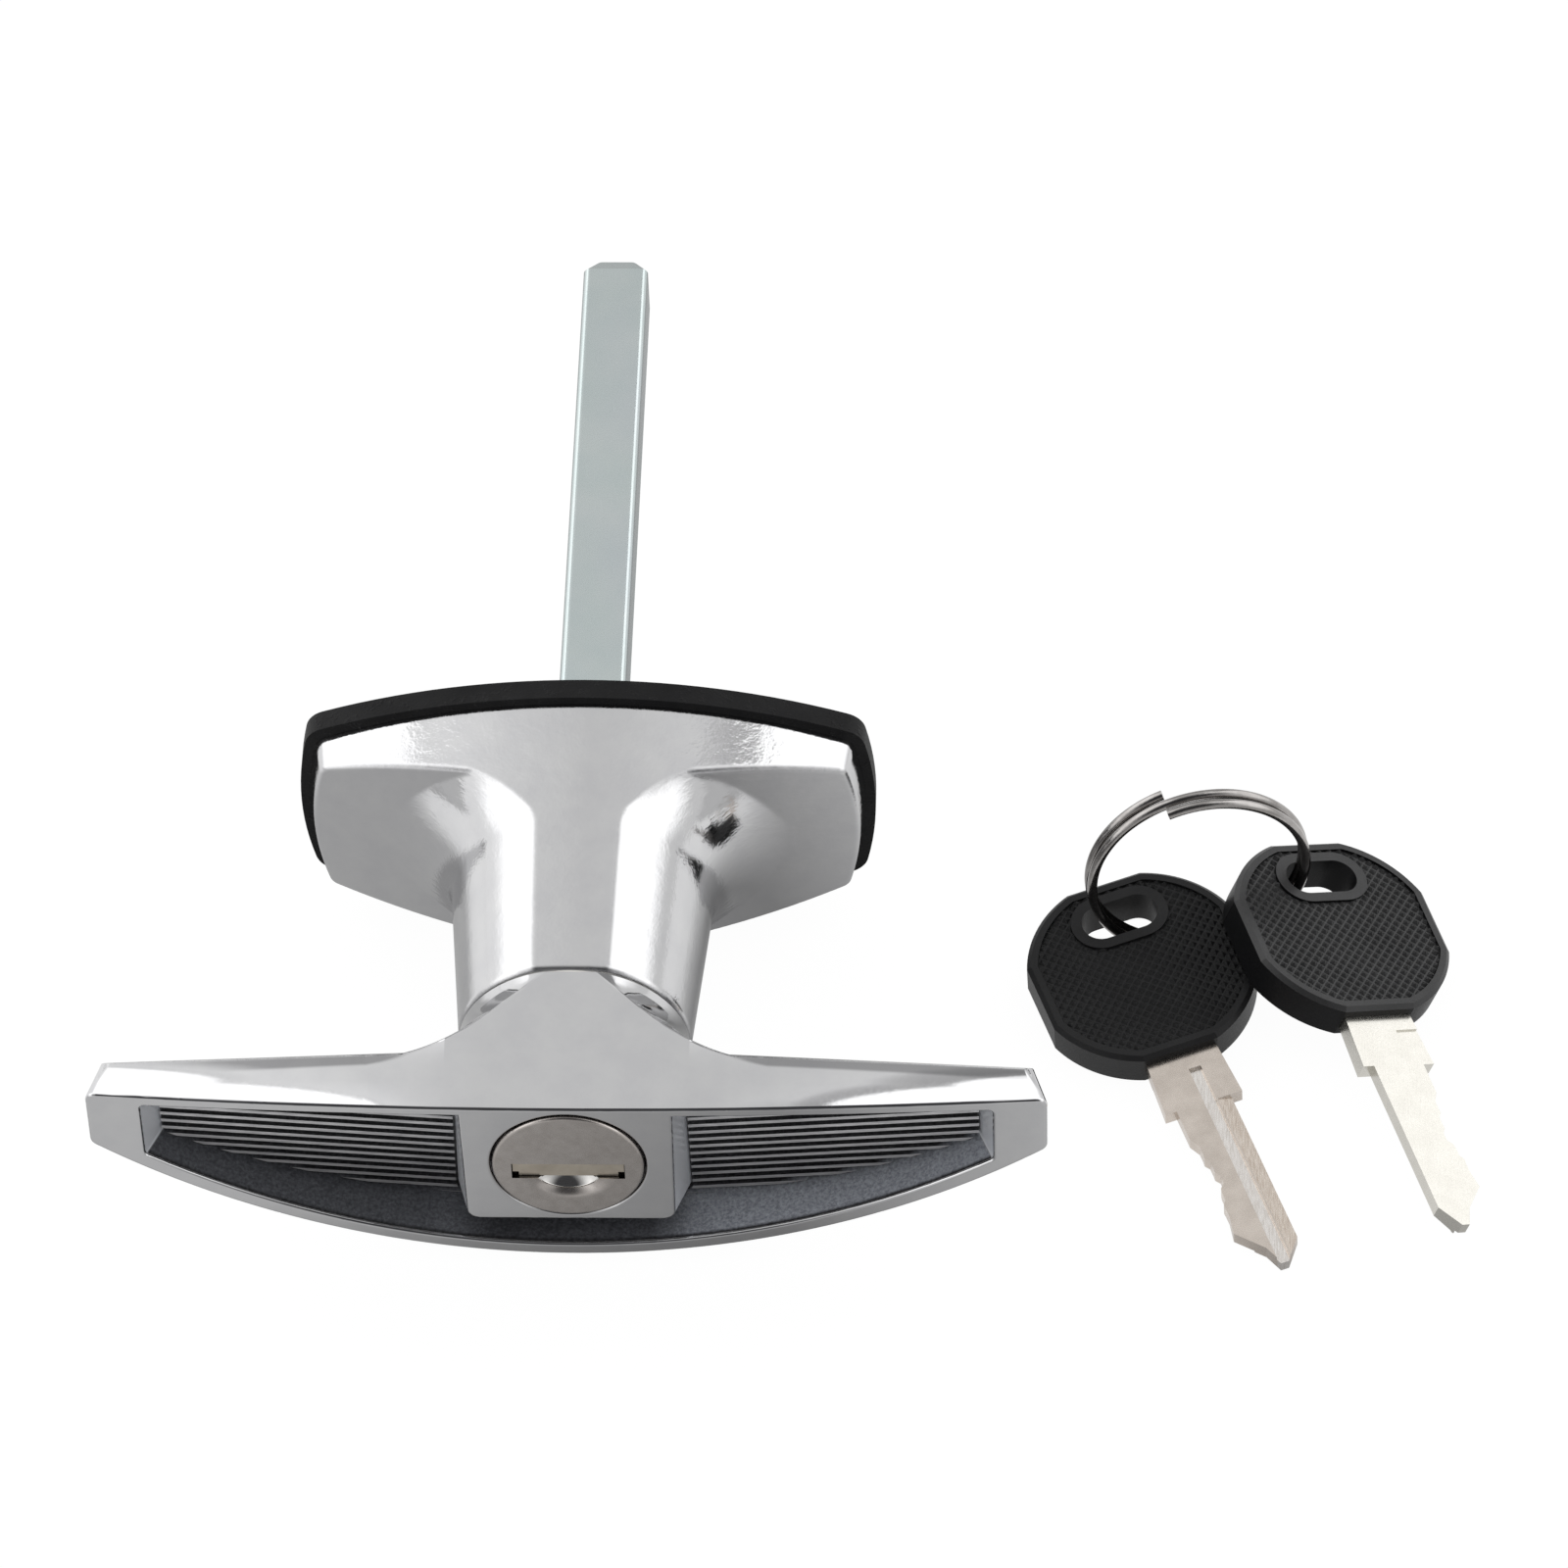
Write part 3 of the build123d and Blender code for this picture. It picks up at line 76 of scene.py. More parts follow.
def clear_selection():
    """Nothing selected, object mode."""
    if bpy.context.object and bpy.context.object.mode != "OBJECT":
        bpy.ops.object.mode_set(mode="OBJECT")
    bpy.ops.object.select_all(action="DESELECT")


def take(piece):
    """Make one piece the active and only selected object."""
    clear_selection()
    piece.select_set(True)
    bpy.context.view_layer.objects.active = piece


def open_piece(piece):
    """Open a piece in edit mode, by its faces, with nothing selected."""
    take(piece)
    bpy.ops.object.mode_set(mode="EDIT")
    bpy.ops.mesh.select_mode(type="FACE")
    bpy.ops.mesh.select_all(action="DESELECT")


def close_piece():
    """Back to object mode."""
    bpy.ops.object.mode_set(mode="OBJECT")


def dress(piece, material):
    """One material on every face."""
    piece.data.materials.clear()
    piece.data.materials.append(material)


# Node helpers

def new_material(name):
    """Material with its shader and tree at hand."""
    material = bpy.data.materials.new(name)
    material.use_nodes = True
    tree = material.node_tree
    return material, tree, tree.nodes["Principled BSDF"]


def link(tree, source, target):
    """Join two sockets."""
    tree.links.new(source, target)


def feed(tree, socket, value):
    """Give a socket a number or another socket's value."""
    if hasattr(value, "links"):
        link(tree, value, socket)
    else:
        socket.default_value = value


def calc(tree, operation, first, second=0.0, third=0.0):
    """One step of arithmetic."""
    node = tree.nodes.new("ShaderNodeMath")
    node.operation = operation
    for socket, value in zip(node.inputs, (first, second, third)):
        feed(tree, socket, value)
    return node.outputs[0]


def product(tree, *values):
    """All the values multiplied."""
    result = values[0]
    for value in values[1:]:
        result = calc(tree, "MULTIPLY", result, value)
    return result


def minus(tree, first, second):
    """One number less another."""
    return calc(tree, "SUBTRACT", first, second)


def absolute(tree, value):
    """A number without its sign."""
    return calc(tree, "ABSOLUTE", value)


def at_least_nought(tree, value):
    """A number, or nought where it is negative."""
    return calc(tree, "MAXIMUM", value, 0.0)


def square(tree, value):
    """A number times itself."""
    return calc(tree, "MULTIPLY", value, value)


def distance(tree, first, second):
    """Length of a line from its two sides."""
    return calc(tree, "SQRT", calc(tree, "ADD", square(tree, first), square(tree, second)))


def dot_product(tree, vector, direction):
    """How far a vector reaches along a direction."""
    node = tree.nodes.new("ShaderNodeVectorMath")
    node.operation = "DOT_PRODUCT"
    node.inputs[1].default_value = direction
    link(tree, vector, node.inputs[0])
    return node.outputs["Value"]


def object_place(tree, scale=(1, 1, 1), turn=(0, 0, 0)):
    """Object coordinates, stretched or turned."""
    place = tree.nodes.new("ShaderNodeTexCoord")
    mapping = tree.nodes.new("ShaderNodeMapping")
    mapping.inputs["Scale"].default_value = scale
    mapping.inputs["Rotation"].default_value = turn
    link(tree, place.outputs["Object"], mapping.inputs["Vector"])
    return mapping.outputs["Vector"]


def object_normal(tree):
    """The surface's direction in the object's own axes."""
    return tree.nodes.new("ShaderNodeTexCoord").outputs["Normal"]


def split(tree, vector):
    """The three numbers of a vector."""
    node = tree.nodes.new("ShaderNodeSeparateXYZ")
    link(tree, vector, node.inputs[0])
    return node.outputs


def millimetres(tree):
    """Object coordinates in millimetres, as three numbers."""
    return split(tree, object_place(tree, (1 / MM, 1 / MM, 1 / MM)))


# Range that most values of a noise lie in
NOISE_LOW = 0.3
NOISE_HIGH = 0.7


def noise(tree, vector, grain, detail=3.0, roughness=0.55):
    """Noise value, with its grain per metre."""
    node = tree.nodes.new("ShaderNodeTexNoise")
    node.inputs["Scale"].default_value = grain
    node.inputs["Detail"].default_value = detail
    node.inputs["Roughness"].default_value = roughness
    link(tree, vector, node.inputs["Vector"])
    return node.outputs["Fac"]


def drawn_noise(tree, stretch, grain, detail, turn=0.0):
    """Noise squeezed or drawn out along an axis, and turned about the upright one in radians."""
    return noise(tree, object_place(tree, stretch, (0.0, 0.0, turn)), grain, detail=detail)


def remap(tree, value, low, high, to_low=0.0, to_high=1.0, soft=False):
    """Range of a value, straight or with soft ends."""
    node = tree.nodes.new("ShaderNodeMapRange")
    if soft:
        node.interpolation_type = "SMOOTHSTEP"
    for name, number in (("From Min", low), ("From Max", high),
                         ("To Min", to_low), ("To Max", to_high)):
        node.inputs[name].default_value = number
    feed(tree, node.inputs["Value"], value)
    return node.outputs["Result"]


def ramp(tree, value, stops):
    """Colours along a value."""
    node = tree.nodes.new("ShaderNodeValToRGB")
    elements = node.color_ramp.elements
    while len(elements) < len(stops):
        elements.new(0.5)
    for element, (place, colour) in zip(elements, stops):
        element.position = place
        element.color = (*colour, 1.0)
    link(tree, value, node.inputs["Fac"])
    return node.outputs["Color"]


def blend_colour(tree, share, first, second):
    """Mix of two colours, each a socket or a colour."""
    node = tree.nodes.new("ShaderNodeMix")
    node.data_type = "RGBA"
    feed(tree, node.inputs["Factor"], share)
    for socket, value in ((node.inputs["A"], first), (node.inputs["B"], second)):
        feed(tree, socket, value if hasattr(value, "links") else (*value, 1.0))
    return node.outputs["Result"]


def blend_number(tree, share, first, second):
    """Mix of two numbers, each a socket or a number."""
    node = tree.nodes.new("ShaderNodeMix")
    feed(tree, node.inputs["Factor"], share)
    feed(tree, node.inputs["A"], first)
    feed(tree, node.inputs["B"], second)
    return node.outputs["Result"]


def bump(tree, height, deep, strength=1.0, under=None):
    """Height that roughens the surface, as deep as given in millimetres."""
    node = tree.nodes.new("ShaderNodeBump")
    feed(tree, node.inputs["Strength"], strength)
    node.inputs["Distance"].default_value = deep * MM
    link(tree, height, node.inputs["Height"])
    if under:
        link(tree, under, node.inputs["Normal"])
    return node.outputs["Normal"]


# Polished and plated metal

# Depth of the faint waves in all metal, millimetres
WAVES_DEEP = 0.004

# Fine specks in polished metal, and smears that are deeper than the specks by a factor
SPECK_GRAIN = 3800.0
SMEARS = {"stretch": (1, 1, 2.2), "grain": 620.0, "detail": 2.0}
SMEAR_RANGE = (0.45, 0.75)
SMEARS_TO_SPECKS = 1.2

# Samples that soften an edge
EDGE_SAMPLES = 6

CHROME_SKIN = {"dark": (0.585, 0.585, 0.595), "light": (0.615, 0.615, 0.62),
               "rough_low": 0.04, "rough_high": 0.085}


def metal_skin(tree, dark, light, rough_low, rough_high, cloud=260.0, grain=2400.0):
    """Cloudy tone, uneven gloss and a faint wavy skin: colour, roughness and normal."""
    place = object_place(tree)
    cloudy = noise(tree, place, cloud, detail=5.0)
    colour = ramp(tree, cloudy, [(0.35, dark), (0.65, light)])
    fine = noise(tree, place, grain, detail=4.0)
    rough = remap(tree, fine, NOISE_LOW, NOISE_HIGH, rough_low, rough_high)
    return colour, rough, bump(tree, cloudy, WAVES_DEEP)


def metal(name, speck=0.0, soft_edge=0.0, **skin):
    """Bare or plated metal: depth of its specks and radius of its softened edges, millimetres."""
    material, tree, shader = new_material(name)
    shader.inputs["Metallic"].default_value = 1.0
    colour, rough, normal = metal_skin(tree, **skin)
    if soft_edge:
        rounded = tree.nodes.new("ShaderNodeBevel")
        rounded.samples = EDGE_SAMPLES
        rounded.inputs["Radius"].default_value = soft_edge * MM
        link(tree, rounded.outputs["Normal"], normal.node.inputs["Normal"])
    if speck:
        fine = noise(tree, object_place(tree), SPECK_GRAIN)
        normal = bump(tree, fine, speck, under=normal)
        smeared = remap(tree, drawn_noise(tree, **SMEARS), *SMEAR_RANGE)
        normal = bump(tree, smeared, SMEARS_TO_SPECKS * speck, under=normal)
    link(tree, colour, shader.inputs["Base Color"])
    link(tree, rough, shader.inputs["Roughness"])
    link(tree, normal, shader.inputs["Normal"])
    return material


# The handle's chrome and paint, placed by millimetres on the casting

# Bar's face, the block in its recess, the recess's floor and the centre of its lower arc
FACE_FRONT = 58.1
CROWN_R = 890.0
BLOCK_HALF = 12.1
RECESS_FLOOR = 51.1
RECESS_FLOOR_SLOPE = 0.032
RECESS_ARC_Z = 75.3

# Polish of the bar's top: fall over a square millimetre along the bar, across it and at its rear
TOP_CROWN = 0.0041
TOP_MIDDLE = 1.5
TOP_FLAT = 12.0
TOP_LEAN = 0.0138
TOP_LEAN_FROM = 54.6
TOP_ROLL = 0.085
TOP_ROLL_WIDE = 2.3
TOP_REAR = 50.16
TOP_REAR_SLOPE = 0.0446
TOP_ARMS = (14.0, 23.0)
TOP_FACING = (0.80, 0.95)

# Edges of the painted zone, each from bare to painted
PAINT_BELOW_FACE = (0.34, 0.46)
PAINT_REACH = (90.6, 90.5)
PAINT_TOP = (9.3, 9.2)
PAINT_HALF_LONG = (49.3, 49.2)
PAINT_DEPTH = (50.4, 50.5)
PAINT_RAGGED = (-0.04, 0.04)
PAINT_RAGGED_GRAIN = 1500.0
END_WALL_FACING = (0.70, 0.80)

# Painted light on the ledge along the recess's lower edge, where it faces up: paler to the right,
# fainter beside the block and near the rim
LEDGE_FACING = (0.45, 0.7)
LEDGE_REACH = (88.6, 89.2)
LEDGE_BELOW_FACE = (0.6, 1.0)
LEDGE_ALONG = (-18.0, 22.0, 0.22, 1.0)
LEDGE_BESIDE_BLOCK = (9.0, 14.0, 0.3, 1.0)

# Ribs worn bright on top and painted paler as a painted reflection, with painted shade on the lower
# rows, and the paint between them
RIB_FOOT = (0.45, 0.68)
RIB_HEAD = (1.2, 1.0)
RIB_FACING = (0.80, 0.95)
RIB_SHADE_FADE = (-9.0, 3.0, 0.40, 1.0)
RIB_WEAR = {"stretch": (1, 1, 14), "grain": 320.0, "detail": 4.0}
VALLEY_HEAD = (0.9, 0.7)
VALLEY_FADE = (-7.0, 2.0)

# Grain of the paint's texture per metre, its noise's roughness and its depth in millimetres
PAINT_GRAIN = 2600.0
PAINT_NOISE = 0.7
PAINT_DEEP = 0.06

# Tones of the paint along its speckle and of the painted light on the ledge, of rib tops along
# their wear and painted reflection with painted shade lower down, and the painted highlight on bare
# walls
DARK_PAINT = [(0.40, (0.010, 0.010, 0.011)), (0.72, (0.045, 0.045, 0.05))]
GREY_PAINT = [(0.40, (0.032, 0.032, 0.034)), (0.72, (0.090, 0.090, 0.096))]
LEDGE_LIGHT_PAINT = [(0.36, (0.19, 0.20, 0.228)), (0.72, (0.45, 0.475, 0.525))]
WORN_AND_SHEEN_RIB = [(0.35, (0.46, 0.46, 0.47)), (0.65, (0.72, 0.72, 0.73))]
SHADED_RIB = (0.06, 0.06, 0.064)
BARE_WALL_HIGHLIGHT = (0.80, 0.82, 0.86)

# Metal and gloss of paint, rib tops and bare walls
RIB_METAL = 0.30
WALL_METAL = 0.35
PAINT_ROUGH = 0.34
RIB_ROUGH = 0.24
WALL_ROUGH = 0.28


def recess_places(tree):
    """Where a point lies on the bar and in its recess."""
    x, y, z = millimetres(tree)
    wide = absolute(tree, x)
    depth = product(tree, y, -1.0)
    crown = calc(tree, "MULTIPLY_ADD", square(tree, x), -1 / (2 * CROWN_R), FACE_FRONT)
    past_block = at_least_nought(tree, minus(tree, wide, BLOCK_HALF))
    floor = calc(tree, "MULTIPLY_ADD", past_block, RECESS_FLOOR_SLOPE, RECESS_FLOOR)
    return {
        "x": x,
        "y": y,
        "z": z,
        "wide": wide,
        "depth": depth,
        "below_face": minus(tree, crown, depth),
        "above_floor": minus(tree, depth, floor),
        "reach": distance(tree, x, minus(tree, z, RECESS_ARC_Z)),
    }


def top_crown(tree, at):
    """Height of the bar's polished top: crowned along the bar, rolled off towards its rear edge."""
    from_middle = absolute(tree, minus(tree, at["x"], TOP_MIDDLE))
    across = at_least_nought(tree, minus(tree, from_middle, TOP_FLAT))
    height = product(tree, square(tree, across), -TOP_CROWN)
    arms = remap(tree, at["wide"], *TOP_ARMS)
    lean = product(tree, square(tree, calc(tree, "ADD", at["y"], TOP_LEAN_FROM)), arms, TOP_LEAN)
    rear = calc(tree, "MULTIPLY_ADD", at["wide"], -TOP_REAR_SLOPE, -TOP_REAR - TOP_ROLL_WIDE)
    past_rear = at_least_nought(tree, minus(tree, at["y"], rear))
    roll = product(tree, square(tree, past_rear), arms, TOP_ROLL)
    return minus(tree, minus(tree, height, lean), roll)


def paint_masks(tree, at, side):
    """Where the recess is painted, and where its end walls are bare."""
    uneven = noise(tree, object_place(tree), PAINT_RAGGED_GRAIN)
    ragged = remap(tree, uneven, NOISE_LOW, NOISE_HIGH, *PAINT_RAGGED)
    inside = product(
        tree,
        remap(tree, calc(tree, "ADD", at["below_face"], ragged), *PAINT_BELOW_FACE),
        remap(tree, at["reach"], *PAINT_REACH),
        remap(tree, at["z"], *PAINT_TOP),
        remap(tree, at["wide"], *PAINT_HALF_LONG),
        remap(tree, at["depth"], *PAINT_DEPTH),
    )
    end_wall = remap(tree, absolute(tree, side), *END_WALL_FACING)
    painted = product(tree, inside, minus(tree, 1.0, end_wall))
    return painted, product(tree, inside, end_wall)


def recess_paint(tree, at, speckle, up):
    """Black textured paint, greyer between the ribs towards the top, with painted light on the
    lower ledge.
    """
    # Painted light: the up-facing lower ledge is paler, more so to the right
    ledge = product(
        tree,
        remap(tree, up, *LEDGE_FACING),
        remap(tree, at["reach"], *LEDGE_REACH),
        remap(tree, at["below_face"], *LEDGE_BELOW_FACE),
        remap(tree, at["x"], *LEDGE_ALONG),
        remap(tree, at["wide"], *LEDGE_BESIDE_BLOCK),
    )
    valley = product(tree, remap(tree, at["above_floor"], *VALLEY_HEAD),
                     remap(tree, at["z"], *VALLEY_FADE))
    low_paint = blend_colour(tree, valley, ramp(tree, speckle, DARK_PAINT),
                             ramp(tree, speckle, GREY_PAINT))
    return blend_colour(tree, ledge, low_paint, ramp(tree, speckle, LEDGE_LIGHT_PAINT))


def rib_wear_and_shade(tree, at, front):
    """Share of worn rib top, and its tone: wear with a painted reflection, shading to painted shade
    on the lower rows.
    """
    rib_top = product(tree, remap(tree, at["above_floor"], *RIB_FOOT),
                      remap(tree, at["above_floor"], *RIB_HEAD),
                      remap(tree, product(tree, front, -1.0), *RIB_FACING))
    bright = ramp(tree, drawn_noise(tree, **RIB_WEAR), WORN_AND_SHEEN_RIB)
    # Painted shade: the lower rows blend towards a dark tone
    return rib_top, blend_colour(tree, remap(tree, at["z"], *RIB_SHADE_FADE), SHADED_RIB, bright)


def handle_chrome():
    """Polished casting, with black textured paint in the recess, worn rib tops with painted
    reflection and painted shade, painted light on the lower ledge and a painted highlight on the
    bare walls.
    """
    material, tree, shader = new_material("handle_chrome_and_paint")
    colour, rough, skin = metal_skin(tree, **CHROME_SKIN)
    at = recess_places(tree)
    side, front, up = split(tree, object_normal(tree))
    painted, bare = paint_masks(tree, at, side)
    speckle = noise(tree, object_place(tree), PAINT_GRAIN, detail=4.0, roughness=PAINT_NOISE)
    rib_top, rib_tone = rib_wear_and_shade(tree, at, front)
    paint = blend_colour(tree, rib_top, recess_paint(tree, at, speckle, up), rib_tone)
    # Painted highlight: the bare end and block walls get a pale bluish tone with less metal in
    # place of a bright reflection
    walls = blend_colour(tree, bare, colour, BARE_WALL_HIGHLIGHT)
    link(tree, blend_colour(tree, painted, walls, paint), shader.inputs["Base Color"])
    wall_metal = blend_number(tree, bare, 1.0, WALL_METAL)
    metallic = blend_number(tree, painted, wall_metal, product(tree, rib_top, RIB_METAL))
    link(tree, metallic, shader.inputs["Metallic"])
    wall_rough = blend_number(tree, bare, rough, WALL_ROUGH)
    paint_rough = blend_number(tree, rib_top, PAINT_ROUGH, RIB_ROUGH)
    link(tree, blend_number(tree, painted, wall_rough, paint_rough), shader.inputs["Roughness"])
    top = remap(tree, up, *TOP_FACING)
    crowned = bump(tree, top_crown(tree, at), 1.0, top, skin)
    link(tree, bump(tree, speckle, PAINT_DEEP, painted, crowned), shader.inputs["Normal"])
    return material


# The plug

PLUG_SKIN = {"dark": (0.47, 0.435, 0.41), "light": (0.53, 0.495, 0.47),
             "rough_low": 0.20, "rough_high": 0.30, "cloud": 900.0, "grain": 6000.0}
BRUSHED = {"stretch": (1, 1, 30), "grain": 900.0, "detail": 4.0}
BRUSHED_DEEP = 0.003

# Scoop under the key slot, millimetres, each pair from outside it to inside it
SCOOP_DEPTH = (58.32, 58.26)
SCOOP_BACK = (56.0, 56.2)
SCOOP_RADIUS = (8.0, 7.9)
SCOOP_TOP = (-0.7, -0.9)
SCOOP_TONE = (0.60, 0.59, 0.575)
SCOOP_ROUGH = 0.10

# Dimple that goes on from the scoop, millimetres
DIMPLE_LOW = 1.6
DIMPLE_HALF_LONG = 5.6
DIMPLE_HALF_TALL = 4.2
DIMPLE_DEEP = 2.4
DIMPLE_TOP = (-1.9, -2.1)
DIMPLE_DEPTH = (58.2, 58.3)


def plug_nickel():
    """Satin nickel, brushed on the face and polished in the scoop."""
    material, tree, shader = new_material("satin_nickel_plug")
    shader.inputs["Metallic"].default_value = 1.0
    colour, rough, skin = metal_skin(tree, **PLUG_SKIN)
    x, y, z = millimetres(tree)
    depth = product(tree, y, -1.0)
    scoop = product(
        tree,
        remap(tree, depth, *SCOOP_DEPTH),
        remap(tree, distance(tree, x, z), *SCOOP_RADIUS),
        remap(tree, z, *SCOOP_TOP),
        remap(tree, depth, *SCOOP_BACK),
    )
    link(tree, blend_colour(tree, scoop, colour, SCOOP_TONE), shader.inputs["Base Color"])
    link(tree, blend_number(tree, scoop, rough, SCOOP_ROUGH), shader.inputs["Roughness"])
    face = bump(tree, drawn_noise(tree, **BRUSHED), BRUSHED_DEEP, under=skin)
    off_long = product(tree, x, 1 / DIMPLE_HALF_LONG)
    off_tall = product(tree, calc(tree, "ADD", z, DIMPLE_LOW), 1 / DIMPLE_HALF_TALL)
    oval = calc(tree, "ADD", square(tree, off_long), square(tree, off_tall))
    dimple = at_least_nought(tree, minus(tree, 1.0, oval))
    height = product(tree, square(tree, dimple), -DIMPLE_DEEP)
    below_slot = product(tree, remap(tree, z, *DIMPLE_TOP), remap(tree, depth, *DIMPLE_DEPTH))
    link(tree, bump(tree, height, 1.0, below_slot, face), shader.inputs["Normal"])
    return material


# The spindle

ZINC_SKIN = {"dark": (0.50, 0.575, 0.585), "light": (0.57, 0.625, 0.63),
             "rough_low": 0.20, "rough_high": 0.30, "cloud": 120.0, "grain": 3000.0}

# Sheen of colours over the plate
FILM = {"stretch": (1, 0.5, 1), "grain": 45.0, "detail": 2.0}
SHEEN = [(0.3, (0.52, 0.60, 0.62)), (0.5, (0.58, 0.63, 0.61)), (0.7, (0.60, 0.60, 0.64))]
SHEEN_SHARE = 0.45

# How it darkens with the millimetres behind the door's face
SPINDLE_FAR = (70.0, 135.0, 0.0, 0.22)
SPINDLE_FAR_TONE = (0.30, 0.33, 0.35)

# Scratches along it
SCRATCHES = {"stretch": (1, 0.08, 1), "grain": 2600.0, "detail": 2.0, "turn": 0.15}
SCRATCH_RANGE = (0.66, 0.74)
SCRATCH_DEEP = 0.004


def spindle_zinc():
    """Bluish zinc plate with a faint sheen of colours and fine scratches."""
    material, tree, shader = new_material("bluish_zinc_plate")
    shader.inputs["Metallic"].default_value = 1.0
    colour, rough, skin = metal_skin(tree, **ZINC_SKIN)
    sheen = ramp(tree, drawn_noise(tree, **FILM), SHEEN)
    plated = blend_colour(tree, SHEEN_SHARE, colour, sheen)
    far = remap(tree, millimetres(tree)[1], *SPINDLE_FAR)
    link(tree, blend_colour(tree, far, plated, SPINDLE_FAR_TONE), shader.inputs["Base Color"])
    link(tree, rough, shader.inputs["Roughness"])
    marks = remap(tree, drawn_noise(tree, **SCRATCHES), *SCRATCH_RANGE)
    link(tree, bump(tree, marks, SCRATCH_DEEP, under=skin), shader.inputs["Normal"])
    return material


# The keys and their materials

def key_place(x, y, lift, turn_angle, side_tilt, tip_tilt):
    """Where a key lies on the bench: bow centre, tilt across and tilt towards the tip."""
    turn = math.radians(turn_angle)
    along = Vector((math.sin(turn), -math.cos(turn), tip_tilt)).normalized()
    across = Vector((math.cos(turn), math.sin(turn), side_tilt))
    normal = along.cross(across).normalized()
    across = normal.cross(along)
    place = Matrix((along, across, normal)).transposed().to_4x4()
    return Matrix.Translation(Vector((x, y, lift + BOW_THICK / 2)) * MM
                              + Vector((0, 0, BENCH))) @ place


KEY_PLACES = {
    "key_1": key_place(x=65.73, y=-17.78, lift=2.05, turn_angle=21.1, side_tilt=0.057,
                       tip_tilt=-0.074),
    "key_2": key_place(x=88.64, y=-13.53, lift=4.23, turn_angle=19.8, side_tilt=-0.355,
                       tip_tilt=-0.074),
}

# Groove and shelf of a blade, millimetres from the bow's centre and from the blade's middle
GROOVE_START = 15.1
GROOVE_NEAR = (0.05, 0.12)
GROOVE_FAR = (1.55, 1.48)
SHELF_START = 20.2
SHELF_NEAR = (1.72, 1.80)
START_EDGE = 0.1

# Dull steps that they start with: half widths in millimetres, full in a share of them
GROOVE_STEP = 0.12
SHELF_STEP = 0.1
STEP_FULL = 0.7
STEP_NEAR = (0.0, 0.05)
STEP_METAL = 0.25

# Streaks in the groove and on the shelf, and the lines drawn along the whole blade
STREAKS = {"stretch": (14, 1, 1), "grain": 700.0, "detail": 2.0, "turn": 0.37}
GROOVE_TONES = [(0.35, (0.66, 0.62, 0.58)), (0.6, (0.82, 0.79, 0.76))]
SHELF_TONES = [(0.35, (0.55, 0.47, 0.40)), (0.65, (0.74, 0.67, 0.60))]
BLADE_LINES = {"stretch": (12, 1, 1), "grain": 500.0, "detail": 3.0, "turn": 0.36}
BLADE_LINES_DEEP = 0.006


def along_axis(tree, axis, origin):
    """How far a point lies from an origin along an axis, in millimetres."""
    reach = dot_product(tree, object_place(tree), axis / MM)
    return minus(tree, reach, axis.dot(origin) / MM)


def band(tree, value, middle, half):
    """One inside a narrow band of a value, nought outside it."""
    return remap(tree, absolute(tree, minus(tree, value, middle)), half, STEP_FULL * half)


def groove_tones(tree, place, colour):
    """Bright groove and warm shelf over a blade's colour, and where their steps are."""
    origin = place.to_translation()
    lengthwise = along_axis(tree, place.col[0].to_3d(), origin)
    sideways = along_axis(tree, place.col[1].to_3d(), origin)
    streak = drawn_noise(tree, **STREAKS)
    groove = product(tree, remap(tree, sideways, *GROOVE_NEAR), remap(tree, sideways, *GROOVE_FAR),
                     remap(tree, lengthwise, GROOVE_START, GROOVE_START + START_EDGE))
    shelf = product(tree, remap(tree, sideways, *SHELF_NEAR),
                    remap(tree, lengthwise, SHELF_START, SHELF_START + START_EDGE))
    colour = blend_colour(tree, groove, colour, ramp(tree, streak, GROOVE_TONES))
    colour = blend_colour(tree, shelf, colour, ramp(tree, streak, SHELF_TONES))
    starts = calc(tree, "ADD", band(tree, lengthwise, GROOVE_START, GROOVE_STEP),
                  band(tree, lengthwise, SHELF_START, SHELF_STEP))
    return colour, product(tree, starts, remap(tree, sideways, *STEP_NEAR))


def blade_nickel(name, place, dark, light, grooved):
    """Nickel silver with drawn lines along the blade, bright in the groove, warm on the shelf."""
    material, tree, shader = new_material(name)
    shader.inputs["Metallic"].default_value = 1.0
    colour, rough, skin = metal_skin(tree, dark, light, rough_low=0.22, rough_high=0.32,
                                     cloud=400.0, grain=5000.0)
    if grooved:
        colour, steps = groove_tones(tree, place, colour)
        link(tree, blend_number(tree, steps, 1.0, STEP_METAL), shader.inputs["Metallic"])
    link(tree, colour, shader.inputs["Base Color"])
    link(tree, rough, shader.inputs["Roughness"])
    lines = bump(tree, drawn_noise(tree, **BLADE_LINES), BLADE_LINES_DEEP, under=skin)
    link(tree, lines, shader.inputs["Normal"])
    return material


# Clouds and uneven gloss of what is moulded, and the nicks in rubber
MOULD_CLOUD = 180.0
MOULD_ROUGH_SPAN = 0.12
NICK_GRAIN = 700.0
NICK_NOISE = 0.7
NICK_RANGE = (0.55, 0.75)


